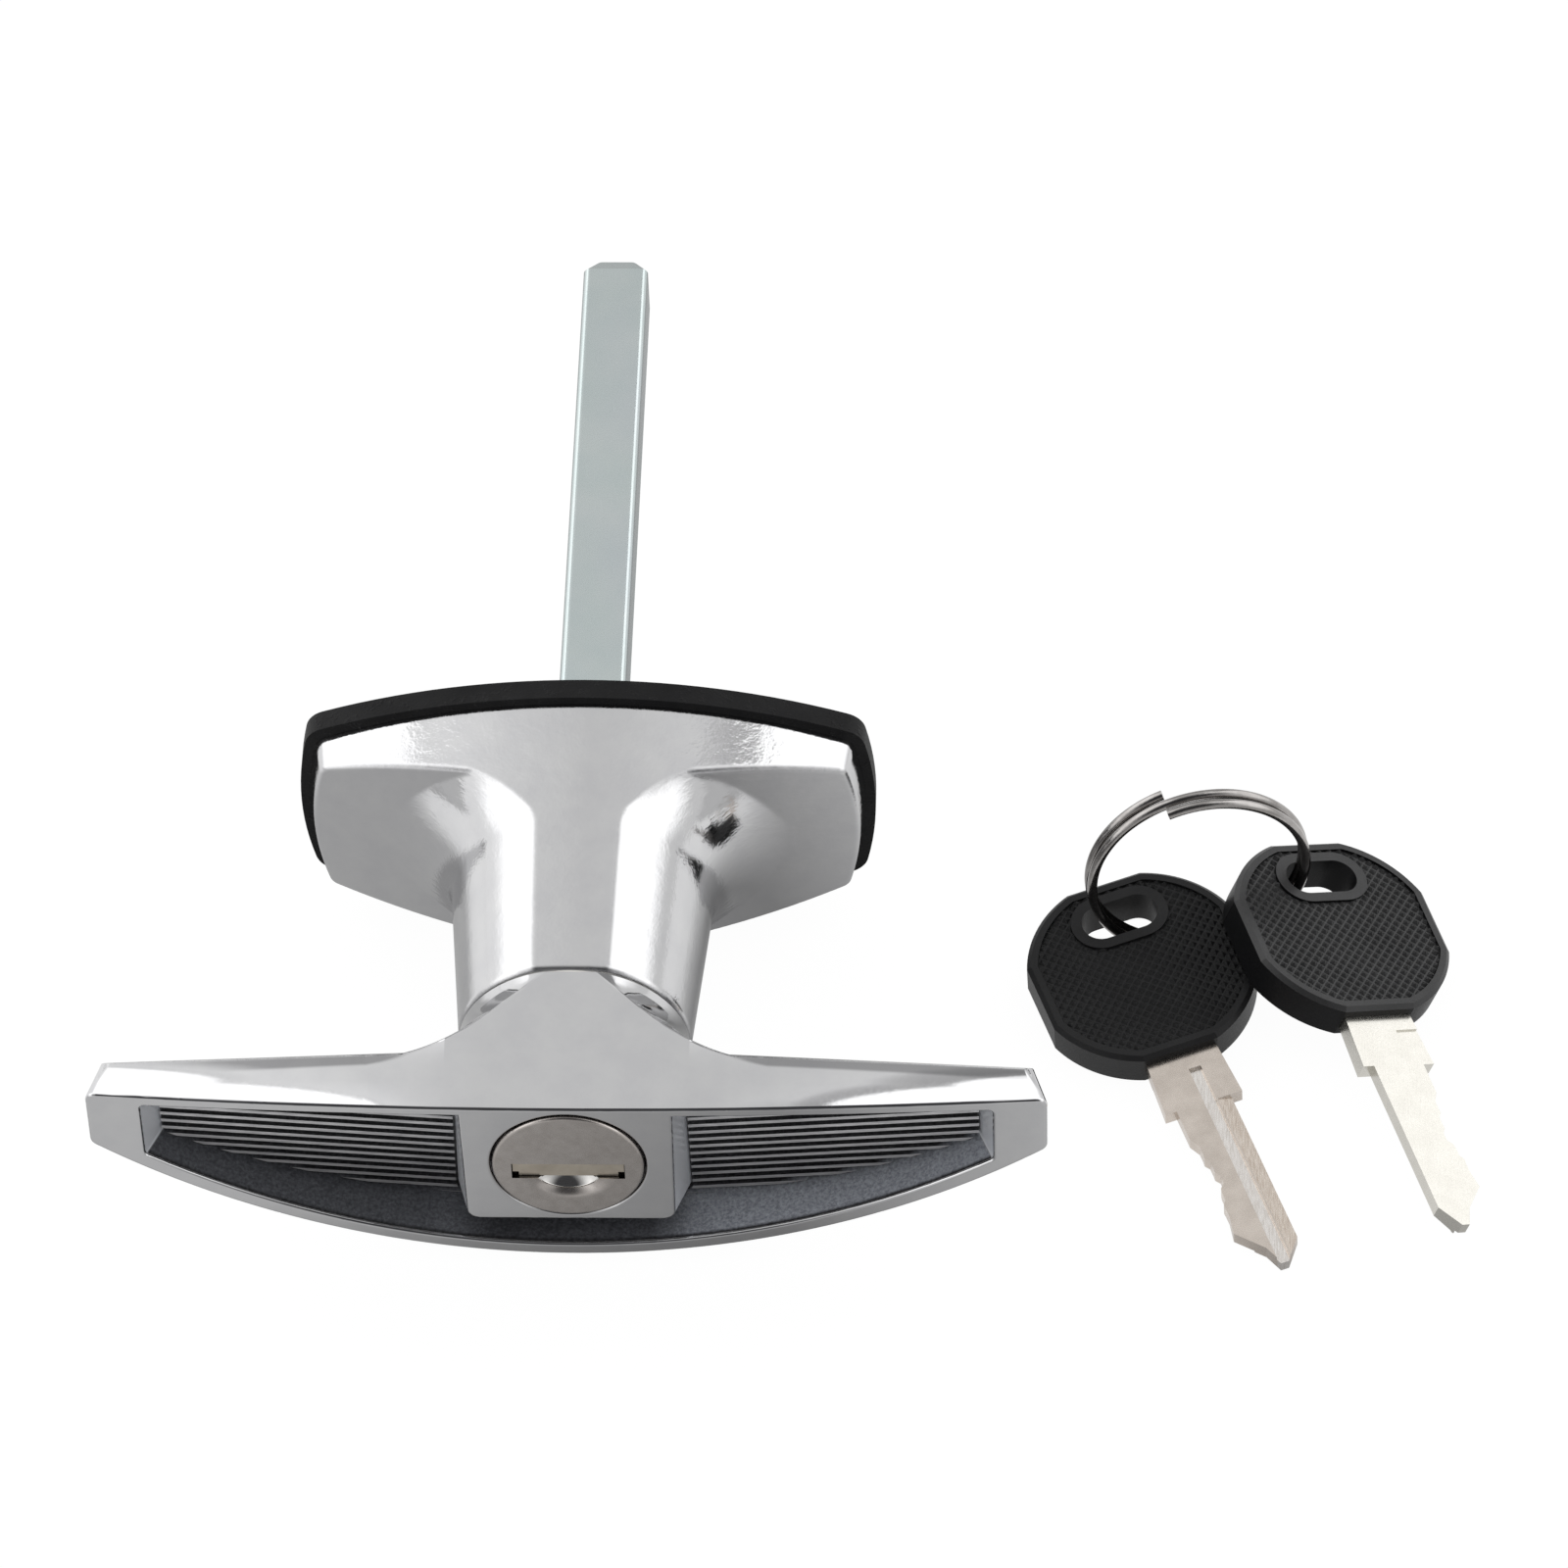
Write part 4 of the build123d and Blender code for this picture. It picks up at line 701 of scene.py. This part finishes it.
def moulded(name, dark, light, rough, grain, fine_deep, nicks_deep=0.0, gloss=0.5):
    """Moulded plastic or rubber with a fine skin, depths in millimetres."""
    material, tree, shader = new_material(name)
    shader.inputs["Specular IOR Level"].default_value = gloss
    place = object_place(tree)
    cloudy = noise(tree, place, MOULD_CLOUD, detail=5.0)
    tones = ramp(tree, cloudy, [(NOISE_LOW, dark), (NOISE_HIGH, light)])
    link(tree, tones, shader.inputs["Base Color"])
    fine = noise(tree, place, grain)
    uneven = remap(tree, fine, NOISE_LOW, NOISE_HIGH, rough, rough + MOULD_ROUGH_SPAN)
    link(tree, uneven, shader.inputs["Roughness"])
    normal = bump(tree, fine, fine_deep)
    if nicks_deep:
        rugged = noise(tree, place, NICK_GRAIN, roughness=NICK_NOISE)
        normal = bump(tree, remap(tree, rugged, *NICK_RANGE), nicks_deep, under=normal)
    link(tree, normal, shader.inputs["Normal"])
    return material


# Bow of key 2, a paler copy of the bow plastic as painted light: how far a face has to look along
# the bow's axis to keep that light, its gloss, and the painted shade on its sides
LIT_FLAT_FACING = (0.3, 0.6)
LIT_FLAT_GLOSS = 0.40
SIDE_GLOSS = 0.10
SHADED_SIDE_TONE = (0.006, 0.006, 0.0065)


def painted_light_bow():
    """Bow of key 2, a paler copy of the bow plastic as painted light, with painted shade darkening
    its sides.
    """
    material = moulded("painted_light_bow_plastic", (0.018, 0.018, 0.0185), (0.030, 0.030, 0.031),
                       rough=0.34, grain=5200.0, fine_deep=0.02)
    tree = material.node_tree
    shader = tree.nodes["Principled BSDF"]
    lit_flat_tone = shader.inputs["Base Color"].links[0].from_socket
    axis = KEY_PLACES["key_2"].col[2].to_3d()
    along = absolute(tree, dot_product(tree, object_normal(tree), axis))
    flat = remap(tree, along, *LIT_FLAT_FACING)
    link(tree, blend_colour(tree, flat, SHADED_SIDE_TONE, lit_flat_tone), shader.inputs["Base Color"])
    link(tree, blend_number(tree, flat, SIDE_GLOSS, LIT_FLAT_GLOSS),
         shader.inputs["Specular IOR Level"])
    return material


bow_black = moulded("black_bow_plastic", (0.009, 0.009, 0.0095), (0.014, 0.014, 0.0145),
                    rough=0.36, grain=5200.0, fine_deep=0.02, gloss=0.22)
# Paler copy of the bow plastic for key 2 as painted light, with painted shade on its sides
bow_lit_copy = painted_light_bow()
slot_materials = {
    "chrome": metal("bright_chrome", speck=0.008, soft_edge=0.8, **CHROME_SKIN),
    "rubber": moulded("black_rubber", (0.006, 0.006, 0.0065), (0.013, 0.013, 0.0135),
                      rough=0.46, grain=3600.0, fine_deep=0.03, nicks_deep=0.12, gloss=0.14),
    "nickel": metal("satin_nickel", dark=(0.46, 0.43, 0.40), light=(0.53, 0.50, 0.47),
                    rough_low=0.16, rough_high=0.24, cloud=900.0, grain=6000.0),
    "brass": metal("worn_brass", dark=(0.50, 0.445, 0.37), light=(0.64, 0.58, 0.49),
                   rough_low=0.30, rough_high=0.42),
    "steel": metal("plain_steel", dark=(0.42, 0.43, 0.44), light=(0.52, 0.53, 0.54),
                   rough_low=0.25, rough_high=0.38),
    "zinc_plate": spindle_zinc(),
    "nylon": moulded("white_nylon", (0.70, 0.69, 0.66), (0.76, 0.75, 0.72),
                     rough=0.4, grain=3000.0, fine_deep=0.01),
    "bow_plastic": bow_black,
    "nickel_silver": blade_nickel("nickel_silver_blade", KEY_PLACES["key_1"],
                                  (0.58, 0.52, 0.465), (0.67, 0.605, 0.545), grooved=True),
    "ring_steel": metal("dark_ring_steel", dark=(0.31, 0.295, 0.285), light=(0.40, 0.385, 0.375),
                        rough_low=0.12, rough_high=0.20, cloud=500.0),
}
own_materials = {"handle": handle_chrome(), "lock_plug": plug_nickel(), "key_2_bow": bow_lit_copy}

for part in frame["record"]["subparts"]:
    node_name = part["node"]
    dress(frame["nodes"][node_name],
          own_materials.get(node_name) or slot_materials[part["material_slot"]])


# Grips on the key bows

def in_field(point):
    """Whether a point, in millimetres, lies in the sunk field of the bow."""
    far = max(abs(point.x), abs(point.y))
    if math.hypot(point.x, point.y) > BOW_FIELD_R + GRIP_OVERLAP:
        return False
    if far > BOW_FIELD_FLAT + GRIP_OVERLAP:
        return False
    across = max(abs(point.y) - HOLE_RIM_REACH, 0.0)
    return math.hypot(point.x + BOW_HOLE_AT, across) > HOLE_RIM_HALF - GRIP_OVERLAP


def make_grip(name, body, place, side):
    """Field of small pyramids on one face of a bow."""
    clear_selection()
    bpy.ops.mesh.primitive_grid_add(
        x_subdivisions=GRIP_CELLS, y_subdivisions=GRIP_CELLS, size=GRIP_CELLS * GRIP_PITCH * MM,
        location=(0, 0, (BOW_THICK / 2 - BOW_FIELD_DEPTH + GRIP_RAISE) * MM),
        rotation=(0, 0, math.radians(GRIP_TURN)))
    grip = bpy.context.object
    grip.name = name
    grip.data.name = name
    bpy.ops.object.transform_apply(location=True, rotation=True, scale=True)
    open_piece(grip)
    close_piece()
    for face in grip.data.polygons:
        face.select = not in_field(face.center / MM)
    bpy.ops.object.mode_set(mode="EDIT")
    bpy.ops.mesh.delete(type="FACE")
    bpy.ops.mesh.select_all(action="SELECT")
    bpy.ops.mesh.inset(thickness=GRIP_LAND * MM, use_individual=True, use_boundary=True)
    bpy.ops.mesh.poke(offset=GRIP_TALL * MM)
    close_piece()
    backing = grip.modifiers.new("backing", "SOLIDIFY")
    backing.thickness = GRIP_BACKING * MM
    backing.offset = -1.0
    bpy.ops.object.modifier_apply(modifier=backing.name)
    turn = Matrix.Rotation(math.pi, 4, "X") if side < 0 else Matrix.Identity(4)
    grip.matrix_world = place @ turn
    bpy.ops.object.transform_apply(location=True, rotation=True, scale=True)
    # Key 2's grips take the paler bow plastic, which is painted light
    dress(grip, bow_lit_copy if body == "key_2" else bow_black)
    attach(grip, body)


def make_grips():
    """Both faces of both bows."""
    for body, place in KEY_PLACES.items():
        make_grip(body + "_grip_front", body, place, 1)
        make_grip(body + "_grip_back", body, place, -1)


def turned_blade():
    """Blade of key 2, which lies with its plain side up."""
    take(frame["nodes"]["key_2_blade"])
    bpy.ops.object.duplicate()
    blade = bpy.context.object
    blade.name = "key_2_blade_plain_side"
    blade.data.name = blade.name
    place = KEY_PLACES["key_2"]
    blade.data.transform(place @ Matrix.Scale(-1.0, 4, (0, 0, 1)) @ place.inverted())
    bpy.ops.mesh.customdata_custom_splitnormals_clear()
    open_piece(blade)
    bpy.ops.mesh.select_all(action="SELECT")
    bpy.ops.mesh.normals_make_consistent(inside=False)
    close_piece()
    bpy.ops.object.shade_smooth_by_angle(angle=math.radians(SMOOTH_ANGLE))
    dress(blade, blade_nickel("nickel_silver_plain_side", place,
                              (0.605, 0.59, 0.545), (0.64, 0.625, 0.58), grooved=False))
    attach(blade, "key_2")
    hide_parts("key_2_blade")


make_grips()
turned_blade()


# Studio, by direction: across to the right, away into the door, and up

# Reflected light above the horizon and below it, by how far a direction points left or right
STUDIO_HIGH = [
    (-1.00, 1.80), (-0.49, 1.80), (-0.475, 0.98), (-0.42, 1.11), (-0.33, 1.04), (-0.24, 0.95),
    (-0.12, 0.87), (-0.04, 0.80), (0.06, 0.83), (0.15, 0.88), (0.265, 0.95), (0.30, 0.70),
    (0.345, 0.60), (0.39, 0.56), (0.405, 1.80), (1.00, 1.80),
]
STUDIO_LOW = [(-1.0, 1.10), (-0.6, 1.22), (-0.3, 0.95), (0.0, 0.80), (0.4, 0.84), (1.0, 0.84)]
STUDIO_RISE = (0.10, 0.38)
STUDIO_STRENGTH = 2.0

# The panels at the sides reach further in where a direction points less far away
STUDIO_SPREAD = (0.20, 0.335, 1.9, 1.0)

# Darker stretch behind the lock, low down in the middle
DIP_UP = (0.70, 0.58)
DIP_AWAY = (0.3, 0.6)
DIP_ACROSS = (0.45, 0.36)
DIP_SHARE = 0.55
DIP_TONE = (0.05, 0.05, 0.052)

# Dark opening in front of the lock and above it
OPENING_TOWARD = (0.03, -0.68, 0.73)
OPENING_WIDE = (0.55, 0.90)
OPENING_TONE = (0.03, 0.03, 0.032)

# Light for what isn't polished, and the white behind everything
PLAIN_LIGHT = 0.80
BACKDROP_WHITE = 1.02


def tone_line(tree, across, table):
    """Grey tones over the left-right direction."""
    share = remap(tree, across, -1.0, 1.0)
    return ramp(tree, share, [
        ((place + 1) / 2, (value / STUDIO_STRENGTH,) * 3) for place, value in table
    ])


def ray_kinds(tree):
    """Whether a ray comes off or through something polished, and whether the camera sent it."""
    rays = tree.nodes.new("ShaderNodeLightPath")
    mirror = calc(tree, "MAXIMUM", rays.outputs["Is Glossy Ray"],
                  rays.outputs["Is Transmission Ray"])
    return mirror, rays.outputs["Is Camera Ray"]


def studio_light(tree, direction):
    """The studio as polished metal sees it."""
    across, away, up = split(tree, direction)
    spread = remap(tree, away, *STUDIO_SPREAD)
    high = tone_line(tree, product(tree, across, spread), STUDIO_HIGH)
    dip = product(tree, remap(tree, up, *DIP_UP, soft=True), remap(tree, away, *DIP_AWAY),
                  remap(tree, absolute(tree, across), *DIP_ACROSS))
    high = blend_colour(tree, product(tree, dip, DIP_SHARE), high, DIP_TONE)
    low = tone_line(tree, across, STUDIO_LOW)
    studio = blend_colour(tree, remap(tree, up, *STUDIO_RISE, soft=True), low, high)
    opening = remap(tree, dot_product(tree, direction, OPENING_TOWARD), *OPENING_WIDE)
    return blend_colour(tree, opening, studio, OPENING_TONE)


def make_world():
    """White studio with a grey ceiling, as polished metal sees it, and plain light for the rest."""
    world = bpy.data.worlds.new("studio")
    scene.world = world
    world.use_nodes = True
    tree = world.node_tree
    background = tree.nodes["Background"]
    place = tree.nodes.new("ShaderNodeTexCoord")
    studio = studio_light(tree, place.outputs["Generated"])
    mirror, seen = ray_kinds(tree)
    plain = (PLAIN_LIGHT / STUDIO_STRENGTH,) * 3
    white = (BACKDROP_WHITE / STUDIO_STRENGTH,) * 3
    lit = blend_colour(tree, mirror, plain, studio)
    link(tree, blend_colour(tree, seen, lit, white), background.inputs["Color"])
    background.inputs["Strength"].default_value = STUDIO_STRENGTH


# Painted light and shadow on the floor as polished metal sees it, from left to right, in metres,
# beside the lock and before it
FLOOR_SHADE_BESIDE = [(-0.12, 1.25), (-0.075, 1.15), (-0.05, 0.48), (0.0, 0.50), (0.024, 0.22),
                (0.04, 0.55), (0.06, 1.05), (0.12, 1.15)]
FLOOR_SHADE_BEFORE = [(-0.12, 0.66), (-0.03, 0.66), (0.0, 0.36), (0.024, 0.22), (0.04, 0.42),
                (0.06, 0.62), (0.12, 0.66)]
FLOOR_SPAN = 0.12
FLOOR_STRENGTH = 1.5

# Where the first gives way to the second, in metres, and the painted shadow that darkens the second
# close to the bar
FLOOR_CHANGE = (-0.050, -0.060)
FLOOR_SHADOW_BY_BAR = (-0.059, -0.067, 0.5, 1.0)

# Share of even tone for mirror and camera rays; the rest is matt and keeps the shadow
FLOOR_MIRROR_SHARE = 0.70
FLOOR_CAMERA_SHARE = 0.93
FLOOR_WHITE = 1.04
FLOOR_MATT = (0.80, 0.80, 0.80, 1.0)
FLOOR_SIZE = 6.0


def floor_shade_line(tree, x, table):
    """Painted light and shadow on the floor from left to right."""
    return ramp(tree, remap(tree, x, -FLOOR_SPAN, FLOOR_SPAN), [
        ((place + FLOOR_SPAN) / (2 * FLOOR_SPAN), (value / FLOOR_STRENGTH,) * 3)
        for place, value in table
    ])


def floor_material():
    """Pale floor that is plain white to the camera and keeps a shadow, with painted light and
    shadow where polished metal sees it.
    """
    material, tree, shader = new_material("pale_floor")
    tree.nodes.remove(shader)
    mirror, seen = ray_kinds(tree)
    share = calc(tree, "ADD", product(tree, mirror, FLOOR_MIRROR_SHARE),
                 product(tree, seen, FLOOR_CAMERA_SHARE))
    x, y = split(tree, object_place(tree))[:2]
    # Painted shadow under the bar and beside the neck, lighter to the left, seen only in polished
    # metal
    shadow_by_bar = remap(tree, y, *FLOOR_SHADOW_BY_BAR, soft=True)
    before = blend_colour(tree, shadow_by_bar, (0.0, 0.0, 0.0), floor_shade_line(tree, x, FLOOR_SHADE_BEFORE))
    shade = blend_colour(tree, remap(tree, y, *FLOOR_CHANGE, soft=True),
                         floor_shade_line(tree, x, FLOOR_SHADE_BESIDE), before)
    white = (FLOOR_WHITE / FLOOR_STRENGTH,) * 3
    matt = tree.nodes.new("ShaderNodeBsdfDiffuse")
    matt.inputs["Color"].default_value = FLOOR_MATT
    glow = tree.nodes.new("ShaderNodeEmission")
    link(tree, blend_colour(tree, seen, shade, white), glow.inputs["Color"])
    glow.inputs["Strength"].default_value = FLOOR_STRENGTH
    mix = tree.nodes.new("ShaderNodeMixShader")
    link(tree, share, mix.inputs["Fac"])
    link(tree, matt.outputs["BSDF"], mix.inputs[1])
    link(tree, glow.outputs["Emission"], mix.inputs[2])
    link(tree, mix.outputs["Shader"], tree.nodes["Material Output"].inputs["Surface"])
    return material


def make_floor():
    """Large flat floor under the gasket's edge."""
    clear_selection()
    bpy.ops.mesh.primitive_plane_add(size=FLOOR_SIZE, location=(0.0, 0.0, BENCH))
    bpy.ops.object.transform_apply(location=True, rotation=True, scale=True)
    floor = bpy.context.object
    floor.name = "studio_floor"
    dress(floor, floor_material())


# Softboxes behind the lock: place in metres, and radiance
LAMPS = {"softbox_left": ((-0.42, 0.30, 0.38), 1.6), "softbox_right": ((0.46, 0.30, 0.38), 1.0)}
LAMP_AIM = (0.0, -0.03, 0.0)
LAMP_WIDE = 0.30
LAMP_TALL = 0.42


def make_lamps():
    """Flat soft lamps left and right, which shine on the lock and show in nothing."""
    for name, (place, radiance) in LAMPS.items():
        lamp = bpy.data.lights.new(name, "AREA")
        lamp.shape = "RECTANGLE"
        lamp.size = LAMP_WIDE
        lamp.size_y = LAMP_TALL
        lamp.energy = radiance * math.pi * LAMP_WIDE * LAMP_TALL
        holder = bpy.data.objects.new(name, lamp)
        scene.collection.objects.link(holder)
        place = Vector(place)
        holder.location = place
        holder.rotation_euler = (Vector(LAMP_AIM) - place).to_track_quat("-Z", "Y").to_euler()
        holder.visible_camera = False
        holder.visible_glossy = False


# Camera: degrees, metres from its aim, which is in millimetres, and lens in pixels of the photo
CAMERA_AZIMUTH = 3.23
CAMERA_ELEVATION = 48.82
CAMERA_ROLL = -2.18
CAMERA_AIM = (23.14, 0.0, 0.0)
CAMERA_AWAY = 1.047
LENS_PIXELS = 9000.0
PHOTO_PIXELS = 1600
SENSOR = 36.0


def make_camera():
    """Long lens, at the place that the photograph was taken from."""
    azimuth = math.radians(CAMERA_AZIMUTH)
    elevation = math.radians(CAMERA_ELEVATION)
    roll = math.radians(CAMERA_ROLL)
    back = Vector((
        math.sin(azimuth) * math.cos(elevation),
        -math.cos(azimuth) * math.cos(elevation),
        math.sin(elevation),
    ))
    level = Vector((math.cos(azimuth), math.sin(azimuth), 0.0))
    over = back.cross(level)
    right = level * math.cos(roll) + over * math.sin(roll)
    up = over * math.cos(roll) - level * math.sin(roll)
    data = bpy.data.cameras.new("camera")
    data.sensor_width = SENSOR
    data.lens = SENSOR * LENS_PIXELS / PHOTO_PIXELS
    data.clip_start = 0.05
    data.clip_end = 20.0
    camera = bpy.data.objects.new("camera", data)
    scene.collection.objects.link(camera)
    place = Vector(CAMERA_AIM) * MM + back * CAMERA_AWAY
    turn = Matrix((right, up, back)).transposed().to_4x4()
    camera.matrix_world = Matrix.Translation(place) @ turn
    scene.camera = camera


make_floor()
make_world()
make_lamps()
make_camera()
